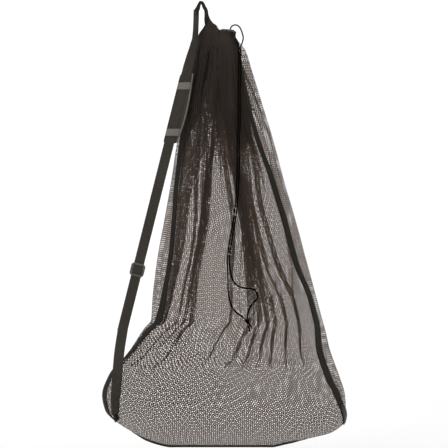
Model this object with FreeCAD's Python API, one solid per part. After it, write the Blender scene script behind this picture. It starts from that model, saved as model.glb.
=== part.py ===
import FreeCAD, Part
import math
import os

from FreeCAD import Vector as V

# Mesh ball bag with a shoulder strap, hanging by the strap from a peg and filled by two balls that are not part of it.
# Millimetres. +Z up, front towards -Y. The origin is where the strap's top loop bears on the peg.

# ---- driving dimensions ----
CLOTH_T = 1.5  # thickness of the mesh panels' stand-in shell
FLAT_WIDTH = 620.0  # bag laid flat, across
FLAT_LENGTH = 990.0  # bag laid flat, hem to bottom seam
TAPE_T = 1.0  # seam tape thickness
TAPE_LIFT = 1.0  # seam tape's inner face above the panels
TAPE_LEFT_W = 15.0
TAPE_RIGHT_W = 22.0
WEB_W = 22.0  # strap webbing
WEB_T = 1.4
LAYER_GAP = 0.3
PAD_L = 155.0
PAD_W = 27.0
PAD_T = 6.5
PAD_EDGE = 2.2  # binding round the pad
BAND_W = 16.0
SLIDER_W = 31.0
SLIDER_L = 28.0
CORD_D = 3.2
PAD_START = 62.0  # pad's top edge along the straight strap, from its upper bend
SLIDER_AT = 506.5  # slider's middle along the straight strap

# One row per level of the bag's body: height, left edge, right edge, half depth of the round part,
# share of the ball-shaped section, left seam's inset and right seam's inset from the body's edge.
LEVELS = [
    (-78.0, -3.5, 81.5, 22.0, 0.00, 4.4, 8.0),
    (-102.1, -12.4, 98.8, 27.0, 0.00, 5.6, 16.9),
    (-146.5, -20.6, 113.2, 31.0, 0.00, 6.7, 22.9),
    (-213.1, -34.4, 134.1, 37.0, 0.00, 7.8, 31.7),
    (-301.9, -52.8, 161.4, 46.0, 0.00, 12.2, 36.6),
    (-390.7, -66.2, 184.7, 56.0, 0.00, 14.4, 28.2),
    (-479.5, -81.3, 210.5, 67.0, 0.00, 23.3, 27.5),
    (-568.3, -97.2, 234.4, 79.0, 0.05, 30.6, 26.9),
    (-657.1, -107.9, 258.0, 91.0, 0.10, 26.6, 15.5),
    (-714.8, -121.7, 274.2, 99.0, 0.25, 13.3, 17.8),
    (-768.1, -158.0, 286.8, 107.0, 0.42, 6.0, 25.5),
    (-823.6, -203.0, 306.8, 116.0, 0.55, 4.4, 27.3),
    (-868.0, -217.1, 320.1, 121.0, 0.60, 3.6, 18.9),
    (-901.3, -210.5, 322.3, 115.0, 0.60, 2.6, 9.0),
    (-928.0, -186.0, 317.9, 99.0, 0.60, 1.2, 2.0),
    (-950.2, -150.5, 291.3, 77.0, 0.55, 0.5, 0.6),
    (-965.7, -122.0, 232.0, 52.0, 0.40, 0.2, 0.2),
    (-975.7, -93.0, 183.0, 25.0, 0.20, 0.05, 0.05),
    (-980.0, -80.0, 168.0, 5.0, 0.00, 0.01, 0.01),
]
# The two bulges at the bottom: centre x, centre z, radius
BALL_A = (-61.7, -857.0, 121.0)
BALL_B = (158.1, -869.0, 103.0)

os.makedirs("parts", exist_ok=True)
parts = {}


def lerp(a, b, t):
    return a + (b - a) * t


def cone_radius(ball, z):
    """Radius of a bulge's section: a sphere below its middle, a slim cone above it."""
    _, zc, r = ball
    if z >= zc:
        return max(r - 0.115 * (z - zc), 8.0)
    return math.sqrt(max(r * r - (z - zc) ** 2, 9.0))


def hull_height(x, xl, xr, circles):
    """Height at x of the convex outline round two end points and the circles between them."""
    best = 0.0
    pts = [(xl, 0.0), (xr, 0.0)]
    for c, r in circles:
        for k in range(0, 25):
            a = math.pi * k / 24.0
            px = c + r * math.cos(a)
            if xl < px < xr:
                pts.append((px, r * math.sin(a)))
    pts.sort()
    hull = []
    for p in pts:
        while len(hull) >= 2 and (
            (hull[-1][0] - hull[-2][0]) * (p[1] - hull[-2][1])
            - (hull[-1][1] - hull[-2][1]) * (p[0] - hull[-2][0])
        ) >= 0:
            hull.pop()
        hull.append(p)
    for (x0, y0), (x1, y1) in zip(hull, hull[1:]):
        if x0 <= x <= x1 and x1 > x0:
            best = y0 + (y1 - y0) * (x - x0) / (x1 - x0)
            break
    return max(best, 0.0)


def slopes(column):
    """Rates of change that keep a column of the table free of overshoot between its rows."""
    h = [b[0] - a[0] for a, b in zip(LEVELS, LEVELS[1:])]
    d = [(b[column] - a[column]) / k for a, b, k in zip(LEVELS, LEVELS[1:], h)]
    m = [d[0]]
    for i in range(1, len(d)):
        if d[i - 1] * d[i] <= 0:
            m.append(0.0)
        else:
            w0, w1 = 2 * h[i] + h[i - 1], h[i] + 2 * h[i - 1]
            m.append((w0 + w1) / (w0 / d[i - 1] + w1 / d[i]))
    return m + [d[-1]]


SLOPES = {c: slopes(c) for c in range(1, 7)}


def level_at(z):
    """The body's numbers at any height, on a smooth curve through the rows."""
    if z >= LEVELS[0][0]:
        return LEVELS[0][1:]
    for i, (a, b) in enumerate(zip(LEVELS, LEVELS[1:])):
        if b[0] <= z <= a[0]:
            h = b[0] - a[0]
            t = (z - a[0]) / h
            return tuple(
                (2 * t**3 - 3 * t**2 + 1) * a[c]
                + (t**3 - 2 * t**2 + t) * h * SLOPES[c][i]
                + (3 * t**2 - 2 * t**3) * b[c]
                + (t**3 - t**2) * h * SLOPES[c][i + 1]
                for c in range(1, 7)
            )
    return LEVELS[-1][1:]


def section(z, theta, inset=0.0):
    """A point of the body's section: theta 0 is the left edge, pi/2 the middle of the front, pi the right edge."""
    xl, xr, depth, ball, _, _ = level_at(z)
    xl, xr = xl + inset, xr - inset
    cx, a = (xl + xr) / 2, (xr - xl) / 2
    x = cx - a * math.cos(theta)
    round_part = max(depth - inset, 0.8) * abs(math.sin(theta))
    y = round_part
    if ball > 0:
        circles = [(b[0], max(cone_radius(b, z) - inset, 2.0)) for b in (BALL_A, BALL_B)]
        y = (1 - ball) * round_part + ball * hull_height(x, xl, xr, circles)
    return V(x, -y if math.sin(theta) >= 0 else y, z)


def slope_at(z):
    """How far the body's wall leans at a height, as an angle from the vertical, positive where it closes below."""
    up, down = min(z + 4.0, LEVELS[0][0]), max(z - 4.0, LEVELS[-1][0])
    return math.atan2(level_at(up)[2] - level_at(down)[2], up - down)


ROWS = []
for upper_row, lower_row in zip(LEVELS, LEVELS[1:]):
    n = max(int(round((upper_row[0] - lower_row[0]) / 28.0)), 1)
    ROWS += [lerp(upper_row[0], lower_row[0], k / n) for k in range(n)]
ROWS.append(LEVELS[-1][0])


def seam_theta(z, side):
    xl, xr, _, _, dl, dr = level_at(z)
    a = (xr - xl) / 2
    return (
        math.acos(max(min(1 - dl / a, 1), -1))
        if side == "left"
        else math.pi - math.acos(max(min(1 - dr / a, 1), -1))
    )


def outward(z, theta):
    """Unit normal of the body's surface, pointing out."""
    e = 0.01
    tu = section(z, theta + e) - section(z, theta - e)
    tv = section(z - 3.0, theta) - section(z + 3.0, theta)
    n = tv.cross(tu)
    if n.Length < 1e-9:
        return V(0, -1, 0)
    n.normalize()
    xl, xr = level_at(z)[:2]
    p = section(z, theta)
    if n.dot(V(p.x - (xl + xr) / 2, p.y, 0)) < 0:
        n = n * -1
    return n


def knots(n):
    inner = n - 3
    return [float(k) for k in range(inner + 1)], [4] + [1] * (inner - 1) + [4]


def surface_face(grid):
    """A smooth cubic surface shaped by a grid of points, which it stays within."""
    ku, mu = knots(len(grid))
    kv, mv = knots(len(grid[0]))
    s = Part.BSplineSurface()
    s.buildFromPolesMultsKnots(grid, mu, mv, ku, kv, False, False, 3, 3)
    return s.toShape()


def edge_face(outer, inner):
    """The strip between one edge of the outer surface and the same edge of the inner one."""
    k, m = knots(len(outer))
    s = Part.BSplineSurface()
    s.buildFromPolesMultsKnots([outer, inner], [2, 2], m, [0.0, 1.0], k, False, False, 1, 3)
    return s.toShape()


def slab(outer, inner):
    """A closed solid between two grids of points with the same rows and columns."""
    faces = [surface_face(outer), surface_face(inner)]
    faces += [edge_face(outer[i], inner[i]) for i in (0, -1)]
    faces += [edge_face([row[i] for row in outer], [row[i] for row in inner]) for i in (0, -1)]
    shell = Part.makeShell(faces)
    shell.sewShape(0.001)
    solid = Part.makeSolid(Part.Shell(shell.Faces))
    if solid.Volume < 0:
        solid.reverse()
    if not solid.isValid():
        solid.fix(0.01, 0.01, 0.05)
    return solid


def panel(theta_from, theta_to, columns):
    outer, inner = [], []
    for z in ROWS:
        t0, t1 = theta_from(z), theta_to(z)
        s = slope_at(z)
        inset, rise = CLOTH_T * max(math.cos(s), 0.35), CLOTH_T * max(math.sin(s), 0) * (1 if z < -860 else 0)
        line_o, line_i = [], []
        for k in range(columns):
            t = lerp(t0, t1, k / (columns - 1))
            line_o.append(section(z, t))
            p = section(z, t, inset)
            line_i.append(V(p.x, p.y, p.z + rise))
        outer.append(line_o)
        inner.append(line_i)
    return slab(outer, inner)


def gap_theta(z, theta, gap):
    e = 0.005
    rate = (section(z, theta + e) - section(z, theta - e)).Length / (2 * e)
    return gap / max(rate, 20.0)


parts["front_mesh_panel"] = panel(
    lambda z: seam_theta(z, "left") + gap_theta(z, seam_theta(z, "left"), 1.5),
    lambda z: seam_theta(z, "right") - gap_theta(z, seam_theta(z, "right"), 1.5),
    21,
)
parts["back_mesh_panel"] = panel(
    lambda z: seam_theta(z, "right") + gap_theta(z, seam_theta(z, "right"), 1.5),
    lambda z: 2 * math.pi + seam_theta(z, "left") - gap_theta(z, seam_theta(z, "left"), 1.5),
    45,
)


# ---- seam tapes, sewn over the side seams ----
def tape(side, width, levels):
    outer, inner = [], []
    for z in levels:
        ts = seam_theta(z, side)
        e = 0.01
        rate = (section(z, ts + e) - section(z, ts - e)).Length / (2 * e)
        lo, li = [], []
        for k in range(5):
            t = ts + (k - 2) / 4.0 * width(z) / max(rate, 25.0)
            p, n = section(z, t), outward(z, t)
            li.append(p + n * TAPE_LIFT)
            lo.append(p + n * (TAPE_LIFT + TAPE_T))
        outer.append(lo)
        inner.append(li)
    return slab(outer, inner)


tape_levels = [-95.0 - 40.0 * k for k in range(15)]
parts["left_seam_tape"] = tape("left", lambda z: TAPE_LEFT_W, tape_levels)
parts["right_seam_tape"] = tape(
    "right", lambda z: lerp(8.0, TAPE_RIGHT_W, min(max((-z - 95.0) / 330.0, 0), 1)), tape_levels + [-695.0 - 36.0 * k for k in range(5)]
)


# ---- bottom seam binding, a folded tape under the bottom edge ----
def band_xz(points, width, y0, y1, drop):
    """An upright band: a line in the XZ plane, width below it, between two depths."""
    upper = [V(x, y0, z - drop) for x, z in points]
    lower = [V(x, y0, z - drop - width) for x, z in points]
    wire = Part.makePolygon(upper + lower[::-1] + [upper[0]])
    return Part.Face(wire).extrude(V(0, y1 - y0, 0))


parts["bottom_seam_binding"] = band_xz(
    [(-93, -980.8), (-60, -982.0), (20, -982.4), (110, -982.4), (182, -980.8)], 4.5, -2.2, 2.2, 0.0
)


# ---- gathered collar: the drawcord casing, its edge binding and the cord inside ----
def ellipse_face(cx, a, b, z):
    e = Part.Ellipse(V(cx, 0, z), a, b)
    return Part.Face(Part.Wire(e.toShape()))


def ellipse_tube(cx, z0, z1, ao, bo, ai, bi):
    return (
        ellipse_face(cx, ao, bo, z0)
        .extrude(V(0, 0, z1 - z0))
        .cut(ellipse_face(cx, ai, bi, z0).extrude(V(0, 0, z1 - z0)))
    )


NECK_X = 43.0
casing = ellipse_tube(NECK_X, -77.4, -59.0, 35.0, 22.0, 14.0, 8.5)
groove = ellipse_tube(NECK_X, -70.0, -66.0, 23.0, 14.5, 18.4, 10.6)
parts["drawcord_casing"] = casing.cut(groove)
cord_ring = ellipse_tube(NECK_X, -69.6, -66.4, 22.6, 14.1, 18.8, 11.0)
parts["drawcord_in_casing"] = cord_ring
parts["mouth_edge_binding"] = ellipse_tube(NECK_X + 9.5, -58.8, -55.6, 24.5, 16.0, 22.0, 13.5)


# ---- cords ----
def routed(points, name, diameter):
    """A cord's tube: straight runs joined by tangent arcs as large as the runs allow."""
    pts = [V(*p) for p in points]
    edges, start = [], pts[0]
    radii = []
    for i in range(1, len(pts) - 1):
        a, b, c = pts[i - 1], pts[i], pts[i + 1]
        t0, t1 = (b - a), (c - b)
        l0, l1 = t0.Length, t1.Length
        t0, t1 = t0 * (1 / l0), t1 * (1 / l1)
        turn = math.acos(max(min(t0.dot(t1), 1), -1))
        back = min(l0 * (0.9 if i == 1 else 0.45), l1 * (0.9 if i == len(pts) - 2 else 0.45))
        r = back / math.tan(turn / 2)
        radii.append(r)
        p0, p1 = b - t0 * back, b + t1 * back
        bis = (t1 - t0).normalize()
        centre = p0 + (bis - t0 * bis.dot(t0)).normalize() * r
        mid = centre + (b - centre).normalize() * r
        if (p0 - start).Length > 1e-6:
            edges.append(Part.LineSegment(start, p0).toShape())
        edges.append(Part.Arc(p0, mid, p1).toShape())
        start = p1
    edges.append(Part.LineSegment(start, pts[-1]).toShape())
    wire = Part.Wire(edges)
    first = (pts[1] - pts[0]).normalize()
    ring = Part.Wire(Part.Circle(pts[0], first, diameter / 2).toShape())
    tube = wire.makePipeShell([ring], True, False, 2)
    ideal = math.pi * diameter**2 / 4 * wire.Length
    print(
        f"{name}: length {wire.Length:.1f} mm, radii {min(radii):.1f}..{max(radii):.1f} mm "
        f"({min(radii) / diameter:.1f} diameters at least), volume {tube.Volume:.0f} of {ideal:.0f}, valid {tube.isValid()}"
    )
    print("   ", " ".join(f"{r:.0f}" for r in radii))
    return tube


# ---- strap ----
def ribbon(stations, width, thick, level_ends=False):
    """Flat webbing through stations of (centre, width direction); its thickness is square to both."""
    wires = []
    for i, (p, w) in enumerate(stations):
        a = stations[max(i - 1, 0)][0]
        b = stations[min(i + 1, len(stations) - 1)][0]
        t = (b - a).normalize()
        w = (w - t * w.dot(t)).normalize()
        n = t.cross(w).normalize()
        if i in (0, len(stations) - 1) and level_ends:
            w, n = V(1, 0, 0), V(0, 1, 0)
        ww = width(i) if callable(width) else width
        tt = thick(i) if callable(thick) else thick
        q = [
            p + w * (ww / 2) + n * (tt / 2),
            p - w * (ww / 2) + n * (tt / 2),
            p - w * (ww / 2) - n * (tt / 2),
            p + w * (ww / 2) - n * (tt / 2),
        ]
        wires.append(Part.makePolygon(q + [q[0]]))
    return Part.makeLoft(wires, True, True)


STRAIGHT_TOP = V(-16.2, -31.0, -97.7)
STRAIGHT_END = V(-171.6, -57.0, -723.7)
D = (STRAIGHT_END - STRAIGHT_TOP).normalize()  # down the strap
W = V(1, 0, 0)
W = (W - D * W.dot(D)).normalize()  # across the strap, to the right
N = D.cross(W).normalize()
if N.y > 0:
    N = N * -1  # out of the strap's front face
STRAIGHT_L = (STRAIGHT_END - STRAIGHT_TOP).Length


def local(u, v, n):
    """A point by width, distance down the straight strap, and height above the webbing's middle plane."""
    return STRAIGHT_TOP + W * u + D * v + N * n


def local_box(u0, u1, v0, v1, n0, n1):
    face = Part.Face(
        Part.makePolygon([local(u0, v0, n0), local(u1, v0, n0), local(u1, v1, n0), local(u0, v1, n0), local(u0, v0, n0)])
    )
    return face.extrude(N * (n1 - n0))


# lower run: from the straight stretch over the left bulge to the bottom left corner
LOWER = [
    STRAIGHT_END,
    V(-177.0, -67.0, -768.0),
    V(-180.5, -74.0, -812.0),
    V(-183.5, -70.0, -850.0),
    V(-185.5, -59.0, -885.0),
    V(-186.0, -45.0, -915.0),
]
upper = [
    (V(-9.6, -5.0, -21.0), V(1, 0.3, 0)),
    (V(-10.6, -11.0, -40.0), V(1, 0.15, 0)),
    (V(-13.4, -22.5, -72.0), V(1, 0.05, 0)),
    (STRAIGHT_TOP, W),
]
main = upper + [(local(0, STRAIGHT_L / 2, 0), W), (STRAIGHT_END, W)] + [(p, V(1, 0, 0)) for p in LOWER[1:]]
parts["strap_main_webbing"] = ribbon(main, lambda i: [13.0, 17.0, 20.0][i] if i < 3 else WEB_W, WEB_T)

BACK = -(WEB_T + LAYER_GAP)
ret = [(local(0.0, SLIDER_AT - 2.0, BACK), W), (local(0, STRAIGHT_L, BACK), W)]
for i in range(1, len(LOWER)):
    a = LOWER[i - 1]
    b = LOWER[min(i + 1, len(LOWER) - 1)]
    t = (b - a).normalize()
    w = (V(1, 0, 0) - t * t.x).normalize()
    n = t.cross(w).normalize()
    if n.y > 0:
        n = n * -1
    ret.append((LOWER[i] + n * BACK, V(1, 0, 0)))
parts["strap_return_webbing"] = ribbon(ret, WEB_W, WEB_T)

# the strap's end sewn into the collar, and the narrow twisted loop over the peg
ROPE_D = 7.0
LOOP = [(-8.0, -4.4, -20.5), (-6.8, -1.6, -8.0), (-5.0, 0.0, 3.5), (5.0, 0.0, 3.5), (8.6, 0.0, -9.0), (13.6, 0.0, -26.3)]
parts["strap_top_loop"] = routed(LOOP, "strap_top_loop", ROPE_D)
parts["strap_collar_anchor"] = ribbon(
    [
        (V(14.2, 0, -27.6), V(1, 0, 0)),
        (V(16.0, 0, -40.0), V(1, 0, 0)),
        (V(18.0, 0, -58.8), V(1, 0, 0)),
    ],
    lambda i: [8.0, 12.0, 18.0][i],
    lambda i: [7.0, 9.0, 12.0][i],
    level_ends=True,
)

# ---- corner tabs ----
parts["left_corner_tab"] = ribbon(
    [(V(-186.0, -38.5, -914.0), V(1, 0, 0)), (V(-183.0, -27.0, -934.0), V(1, 0, 0))], 22.0, 2.4
)
parts["right_corner_tab"] = ribbon(
    [(V(319.0, -15.0, -887.0), V(1, 0.4, 0)), (V(319.5, -12.5, -912.0), V(1, 0.4, 0)), (V(314.0, -9.0, -934.0), V(1, 0.4, 0))],
    lambda i: [12.0, 13.0, 8.0][i],
    2.4,
)

# ---- shoulder pad ----
P0, P1 = PAD_START, PAD_START + PAD_L
PAD_U = 2.5  # the pad sits a little to the right of the webbing
FACE = -(WEB_T / 2 + LAYER_GAP)
pad = local_box(PAD_U - PAD_W / 2, PAD_U + PAD_W / 2, P0, P1, FACE - PAD_T, FACE)
parts["shoulder_pad"] = pad
ring = local_box(
    PAD_U - PAD_W / 2 - PAD_EDGE, PAD_U + PAD_W / 2 + PAD_EDGE, P0 - PAD_EDGE, P1 + PAD_EDGE, FACE - PAD_T, FACE
).cut(pad)
parts["pad_edge_binding"] = ring
LEG = WEB_W / 2 + 0.7
for name, v in (("pad_band_upper", P0 + 19.0), ("pad_band_lower", P0 + 124.5)):
    left_u, right_u = PAD_U - PAD_W / 2 - PAD_EDGE, PAD_U + PAD_W / 2 + PAD_EDGE
    top = local_box(left_u, right_u, v, v + BAND_W, -FACE, -FACE + 1.0)
    legs = [
        local_box(left_u, -LEG, v, v + BAND_W, FACE, -FACE),
        local_box(LEG, right_u, v, v + BAND_W, FACE, -FACE),
    ]
    parts[name] = top.fuse(legs[0]).fuse(legs[1]).removeSplitter()
tacks = []
for v in (P0 + 19.0, P0 + 124.5):
    for u in (-12.2, 15.0):
        tacks.append(local_box(u - 0.9, u + 0.9, v + 1.5, v + BAND_W - 1.5, -FACE + 1.0, -FACE + 1.5))
parts["pad_bar_tacks"] = Part.makeCompound(tacks)

# ---- slider: one moulded ladder-lock with bars in front and a middle bar behind ----
H, L2 = SLIDER_W / 2, SLIDER_L / 2
s0 = SLIDER_AT
rails = [
    local_box(-H, -LEG, s0 - L2, s0 + L2, -5.4, 3.9),
    local_box(LEG, H, s0 - L2, s0 + L2, -5.4, 3.9),
]
bars = [
    local_box(-H, H, s0 - L2, s0 - L2 + 5.0, 1.1, 3.9),
    local_box(-H, H, s0 + L2 - 5.0, s0 + L2, 1.1, 3.9),
    local_box(-H, H, s0 - 2.5, s0 + 2.5, -5.4, -2.8),
]
slider = rails[0].fuse(rails[1])
for b in bars:
    slider = slider.fuse(b)
parts["strap_slider"] = slider.removeSplitter()


# ---- drawcord ----
def front_y(x, z, clear):
    """Depth at which something lies on the front of the body at x, z."""
    xl, xr = level_at(z)[:2]
    c = max(min((xl + xr - 2 * x) / (xr - xl), 1), -1)
    return section(z, math.acos(c)).y - clear


def on_front(points, clear):
    return [(x, min(front_y(x + d, z, clear) for d in (-3, 0, 3)), z) for x, z in points]


HINGE_Y, HINGE_Z = -23.0, -99.0  # the line across the collar's right side that the hanging cord swings about

TOP_LOOP = [
    (65.3, -6.5, -58.5),
    (65.4, -6.9, -54.9),
    (69.5, -7.6, -49.1),
    (76.3, -8.6, -46.9),
    (83.1, -10.4, -49.1),
    (87.9, -12.4, -55.2),
    (91.5, -15.5, -65.0),
    (94.5, -18.5, -76.0),
    (92.5, -21.5, -87.0),
    (88.3, HINGE_Y + 0.2, HINGE_Z + 1.8),
]
SHORT_LEAD = [
    (76.0, -17.0, -78.0),
    (80.5, -23.5, -86.0),
    (83.7, HINGE_Y + 0.2, HINGE_Z + 1.8),
]
UPPER = [(88.3, -146), (86.2, -200), (87.0, -256), (84.0, -312), (84.8, -368), (82.0, -424), (77.0, -476), (67.5, -524), (62.0, -570)]
left_low = [(60.4, -608.0), (60.0, -636.0), (65.0, -662.0), (78.0, -681.5), (94.0, -690.0), (101.0, -697.5)]
right_low = [(66.5, -601.0), (76.5, -621.5), (97.0, -628.0), (118.5, -628.5), (127.0, -648.0), (113.0, -661.0), (102.5, -677.0), (101.0, -697.5)]
LEFT = [(83.7, HINGE_Y, HINGE_Z - 1.8)] + on_front([(x - 3.9, z) for x, z in UPPER] + left_low, 4.6)
RIGHT = [(87.9, HINGE_Y, HINGE_Z - 1.8)] + on_front([(x + 0.4, z) for x, z in UPPER] + right_low, 4.6)
LEFT[-1] = (LEFT[-1][0], LEFT[-1][1] - 3.0, LEFT[-1][2])
LEFT[-2] = (LEFT[-2][0], LEFT[-2][1] - 1.5, LEFT[-2][2])
RIGHT[-2] = (RIGHT[-2][0], RIGHT[-2][1] - 1.5, RIGHT[-2][2])
KNOT = V(*LEFT[-1])
RIGHT[-1] = LEFT[-1]
knot = Part.makeSphere(5.2, KNOT)
parts["drawcord_top_loop"] = routed(TOP_LOOP, "drawcord_top_loop", CORD_D)
parts["drawcord_short_lead"] = routed(SHORT_LEAD, "drawcord_short_lead", CORD_D)
parts["drawcord_left_strand"] = routed(LEFT, "drawcord_left_strand", CORD_D).cut(knot)
parts["drawcord_right_strand"] = routed(RIGHT, "drawcord_right_strand", CORD_D).cut(knot)
parts["drawcord_knot"] = knot
TAIL_A = [(100.8, KNOT.y, -697.5), (103.0, KNOT.y - 0.5, -708.0), (107.5, KNOT.y - 0.8, -720.0)]
TAIL_B = [(101.6, KNOT.y, -697.5), (107.2, KNOT.y + 0.2, -707.0), (113.5, KNOT.y - 0.2, -715.5)]
tail_a = routed(TAIL_A, "drawcord_tail_a", CORD_D - 0.4).cut(knot)
tail_b = routed(TAIL_B, "drawcord_tail_b", CORD_D - 0.4).cut(knot).cut(tail_a)
parts["drawcord_tails"] = Part.makeCompound([tail_a, tail_b])

for name, shape in parts.items():
    shape.exportStep("parts/" + name + ".step")
    solids = shape.Solids
    bb = shape.BoundBox
    print(
        f"{name}: {len(solids)} solid(s), valid {shape.isValid()}, volume {sum(s.Volume for s in solids) / 1000:.2f} cm3, "
        f"x {bb.XMin:.1f}..{bb.XMax:.1f} y {bb.YMin:.1f}..{bb.YMax:.1f} z {bb.ZMin:.1f}..{bb.ZMax:.1f}"
    )
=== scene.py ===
import math

import bpy
import numpy as np
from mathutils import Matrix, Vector


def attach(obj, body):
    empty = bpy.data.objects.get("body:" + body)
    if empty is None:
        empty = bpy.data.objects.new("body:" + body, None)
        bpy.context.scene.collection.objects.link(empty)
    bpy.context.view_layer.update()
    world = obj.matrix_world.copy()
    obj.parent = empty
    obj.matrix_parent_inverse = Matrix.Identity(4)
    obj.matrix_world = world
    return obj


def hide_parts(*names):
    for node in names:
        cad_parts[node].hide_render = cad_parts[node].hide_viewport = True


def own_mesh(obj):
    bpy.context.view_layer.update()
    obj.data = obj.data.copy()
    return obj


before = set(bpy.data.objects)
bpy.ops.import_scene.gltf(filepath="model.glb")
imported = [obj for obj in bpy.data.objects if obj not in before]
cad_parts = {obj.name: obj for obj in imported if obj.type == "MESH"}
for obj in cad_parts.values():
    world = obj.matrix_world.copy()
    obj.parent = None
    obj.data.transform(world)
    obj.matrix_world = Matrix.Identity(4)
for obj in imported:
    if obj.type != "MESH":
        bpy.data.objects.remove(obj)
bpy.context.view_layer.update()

MM = 0.001
scene = bpy.context.scene
rng = np.random.default_rng(11)

# ---------------------------------------------------------------- camera
cam_data = bpy.data.cameras.new("camera")
cam_data.sensor_width = 36.0
cam_data.lens = 144.8
cam_data.clip_end = 30.0
cam = bpy.data.objects.new("camera", cam_data)
cam.location = (0.0515, -4.0, -0.4884)
cam.rotation_euler = (math.pi / 2, 0, 0)
scene.collection.objects.link(cam)
scene.camera = cam
scene.view_settings.view_transform = "Standard"

# ---------------------------------------------------------------- the body's shape, as in the CAD model (mm)
LEVELS = [
    (-78.0, -3.5, 81.5, 22.0, 0.00, 4.4, 8.0),
    (-102.1, -12.4, 98.8, 27.0, 0.00, 5.6, 16.9),
    (-146.5, -20.6, 113.2, 31.0, 0.00, 6.7, 22.9),
    (-213.1, -34.4, 134.1, 37.0, 0.00, 7.8, 31.7),
    (-301.9, -52.8, 161.4, 46.0, 0.00, 12.2, 36.6),
    (-390.7, -66.2, 184.7, 56.0, 0.00, 14.4, 28.2),
    (-479.5, -81.3, 210.5, 67.0, 0.00, 23.3, 27.5),
    (-568.3, -97.2, 234.4, 79.0, 0.05, 30.6, 26.9),
    (-657.1, -107.9, 258.0, 91.0, 0.10, 26.6, 15.5),
    (-702.0, -110.8, 270.0, 97.2, 0.20, 18.0, 16.2),
    (-717.0, -123.5, 274.6, 99.4, 0.25, 12.6, 18.2),
    (-768.1, -158.0, 286.8, 107.0, 0.42, 6.0, 25.5),
    (-823.6, -203.0, 306.8, 116.0, 0.55, 4.4, 27.3),
    (-868.0, -217.1, 320.1, 121.0, 0.60, 3.6, 18.9),
    (-901.3, -210.5, 322.3, 115.0, 0.60, 2.6, 9.0),
    (-928.0, -186.0, 317.9, 99.0, 0.60, 1.2, 2.0),
    (-950.2, -150.5, 291.3, 77.0, 0.55, 0.5, 0.6),
    (-965.7, -122.0, 232.0, 52.0, 0.40, 0.2, 0.2),
    (-975.7, -93.0, 183.0, 25.0, 0.20, 0.05, 0.05),
    (-980.0, -80.0, 168.0, 5.0, 0.00, 0.01, 0.01),
]
BALL_A = (-61.7, -857.0, 121.0)
BALL_B = (158.1, -869.0, 103.0)


def slopes(column):
    h = [b[0] - a[0] for a, b in zip(LEVELS, LEVELS[1:])]
    d = [(b[column] - a[column]) / k for a, b, k in zip(LEVELS, LEVELS[1:], h)]
    m = [d[0]]
    for i in range(1, len(d)):
        if d[i - 1] * d[i] <= 0:
            m.append(0.0)
        else:
            w0, w1 = 2 * h[i] + h[i - 1], h[i] + 2 * h[i - 1]
            m.append((w0 + w1) / (w0 / d[i - 1] + w1 / d[i]))
    return m + [d[-1]]


SLOPES = {c: slopes(c) for c in range(1, 7)}


def level_at(z):
    if z >= LEVELS[0][0]:
        return LEVELS[0][1:]
    for i, (a, b) in enumerate(zip(LEVELS, LEVELS[1:])):
        if b[0] <= z <= a[0]:
            h = b[0] - a[0]
            t = (z - a[0]) / h
            return tuple(
                (2 * t**3 - 3 * t**2 + 1) * a[c]
                + (t**3 - 2 * t**2 + t) * h * SLOPES[c][i]
                + (3 * t**2 - 2 * t**3) * b[c]
                + (t**3 - t**2) * h * SLOPES[c][i + 1]
                for c in range(1, 7)
            )
    return LEVELS[-1][1:]


def cone_radius(ball, z):
    _, zc, r = ball
    if z >= zc:
        return max(r - 0.115 * (z - zc), 8.0)
    return math.sqrt(max(r * r - (z - zc) ** 2, 9.0))


def hull_line(xl, xr, circles):
    """Corner points of the convex outline round two end points and the circles between them."""
    pts = [(xl, 0.0), (xr, 0.0)]
    for c, r in circles:
        for k in range(0, 25):
            a = math.pi * k / 24.0
            px = c + r * math.cos(a)
            if xl < px < xr:
                pts.append((px, r * math.sin(a)))
    pts.sort()
    hull = []
    for p in pts:
        while len(hull) >= 2 and (
            (hull[-1][0] - hull[-2][0]) * (p[1] - hull[-2][1]) - (hull[-1][1] - hull[-2][1]) * (p[0] - hull[-2][0])
        ) >= 0:
            hull.pop()
        hull.append(p)
    return np.array([p[0] for p in hull]), np.array([p[1] for p in hull])


def half_depth(x, z):
    """The body's half depth at positions x of the level z."""
    xl, xr, depth, ball, _, _ = level_at(z)
    cx, a = (xl + xr) / 2, (xr - xl) / 2
    x = np.asarray(x, float)
    y = max(depth, 0.8) * np.sqrt(np.clip(1 - ((x - cx) / a) ** 2, 0, 1))
    if ball > 0:
        hx, hy = hull_line(xl, xr, [(b[0], max(cone_radius(b, z), 2.0)) for b in (BALL_A, BALL_B)])
        inside = (x > xl) & (x < xr)
        y = np.where(inside, (1 - ball) * y + ball * np.clip(np.interp(x, hx, hy), 0, None), 0.0)
    return y


def seam_theta(z, side):
    xl, xr, _, _, dl, dr = level_at(z)
    a = (xr - xl) / 2
    if side == "left":
        return math.acos(max(min(1 - dl / a, 1), -1))
    return math.pi - math.acos(max(min(1 - dr / a, 1), -1))


TH = np.linspace(-0.5 * math.pi, 3.5 * math.pi, 2401)
_loops = {}


def loop_at(z):
    """The body's outline at a level, as positions and outward directions by distance round it."""
    key = round(z, 3)
    if key not in _loops:
        xl, xr = level_at(z)[:2]
        cx, a = (xl + xr) / 2, (xr - xl) / 2
        x = cx - a * np.cos(TH)
        y = np.where(np.sin(TH) >= 0, -1, 1) * half_depth(x, z)
        s = np.concatenate([[0], np.cumsum(np.hypot(np.diff(x), np.diff(y)))])
        tx, ty = np.gradient(x, s + np.arange(len(s)) * 1e-9), np.gradient(y, s + np.arange(len(s)) * 1e-9)
        k = np.ones(15) / 15
        tx, ty = np.convolve(tx, k, "same"), np.convolve(ty, k, "same")
        n = np.hypot(tx, ty) + 1e-9
        _loops[key] = (s, x, y, ty / n, -tx / n)
    return _loops[key]


def seam_s(z, side):
    s = loop_at(z)[0]
    return float(np.interp(seam_theta(z, side), TH, s))


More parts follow.
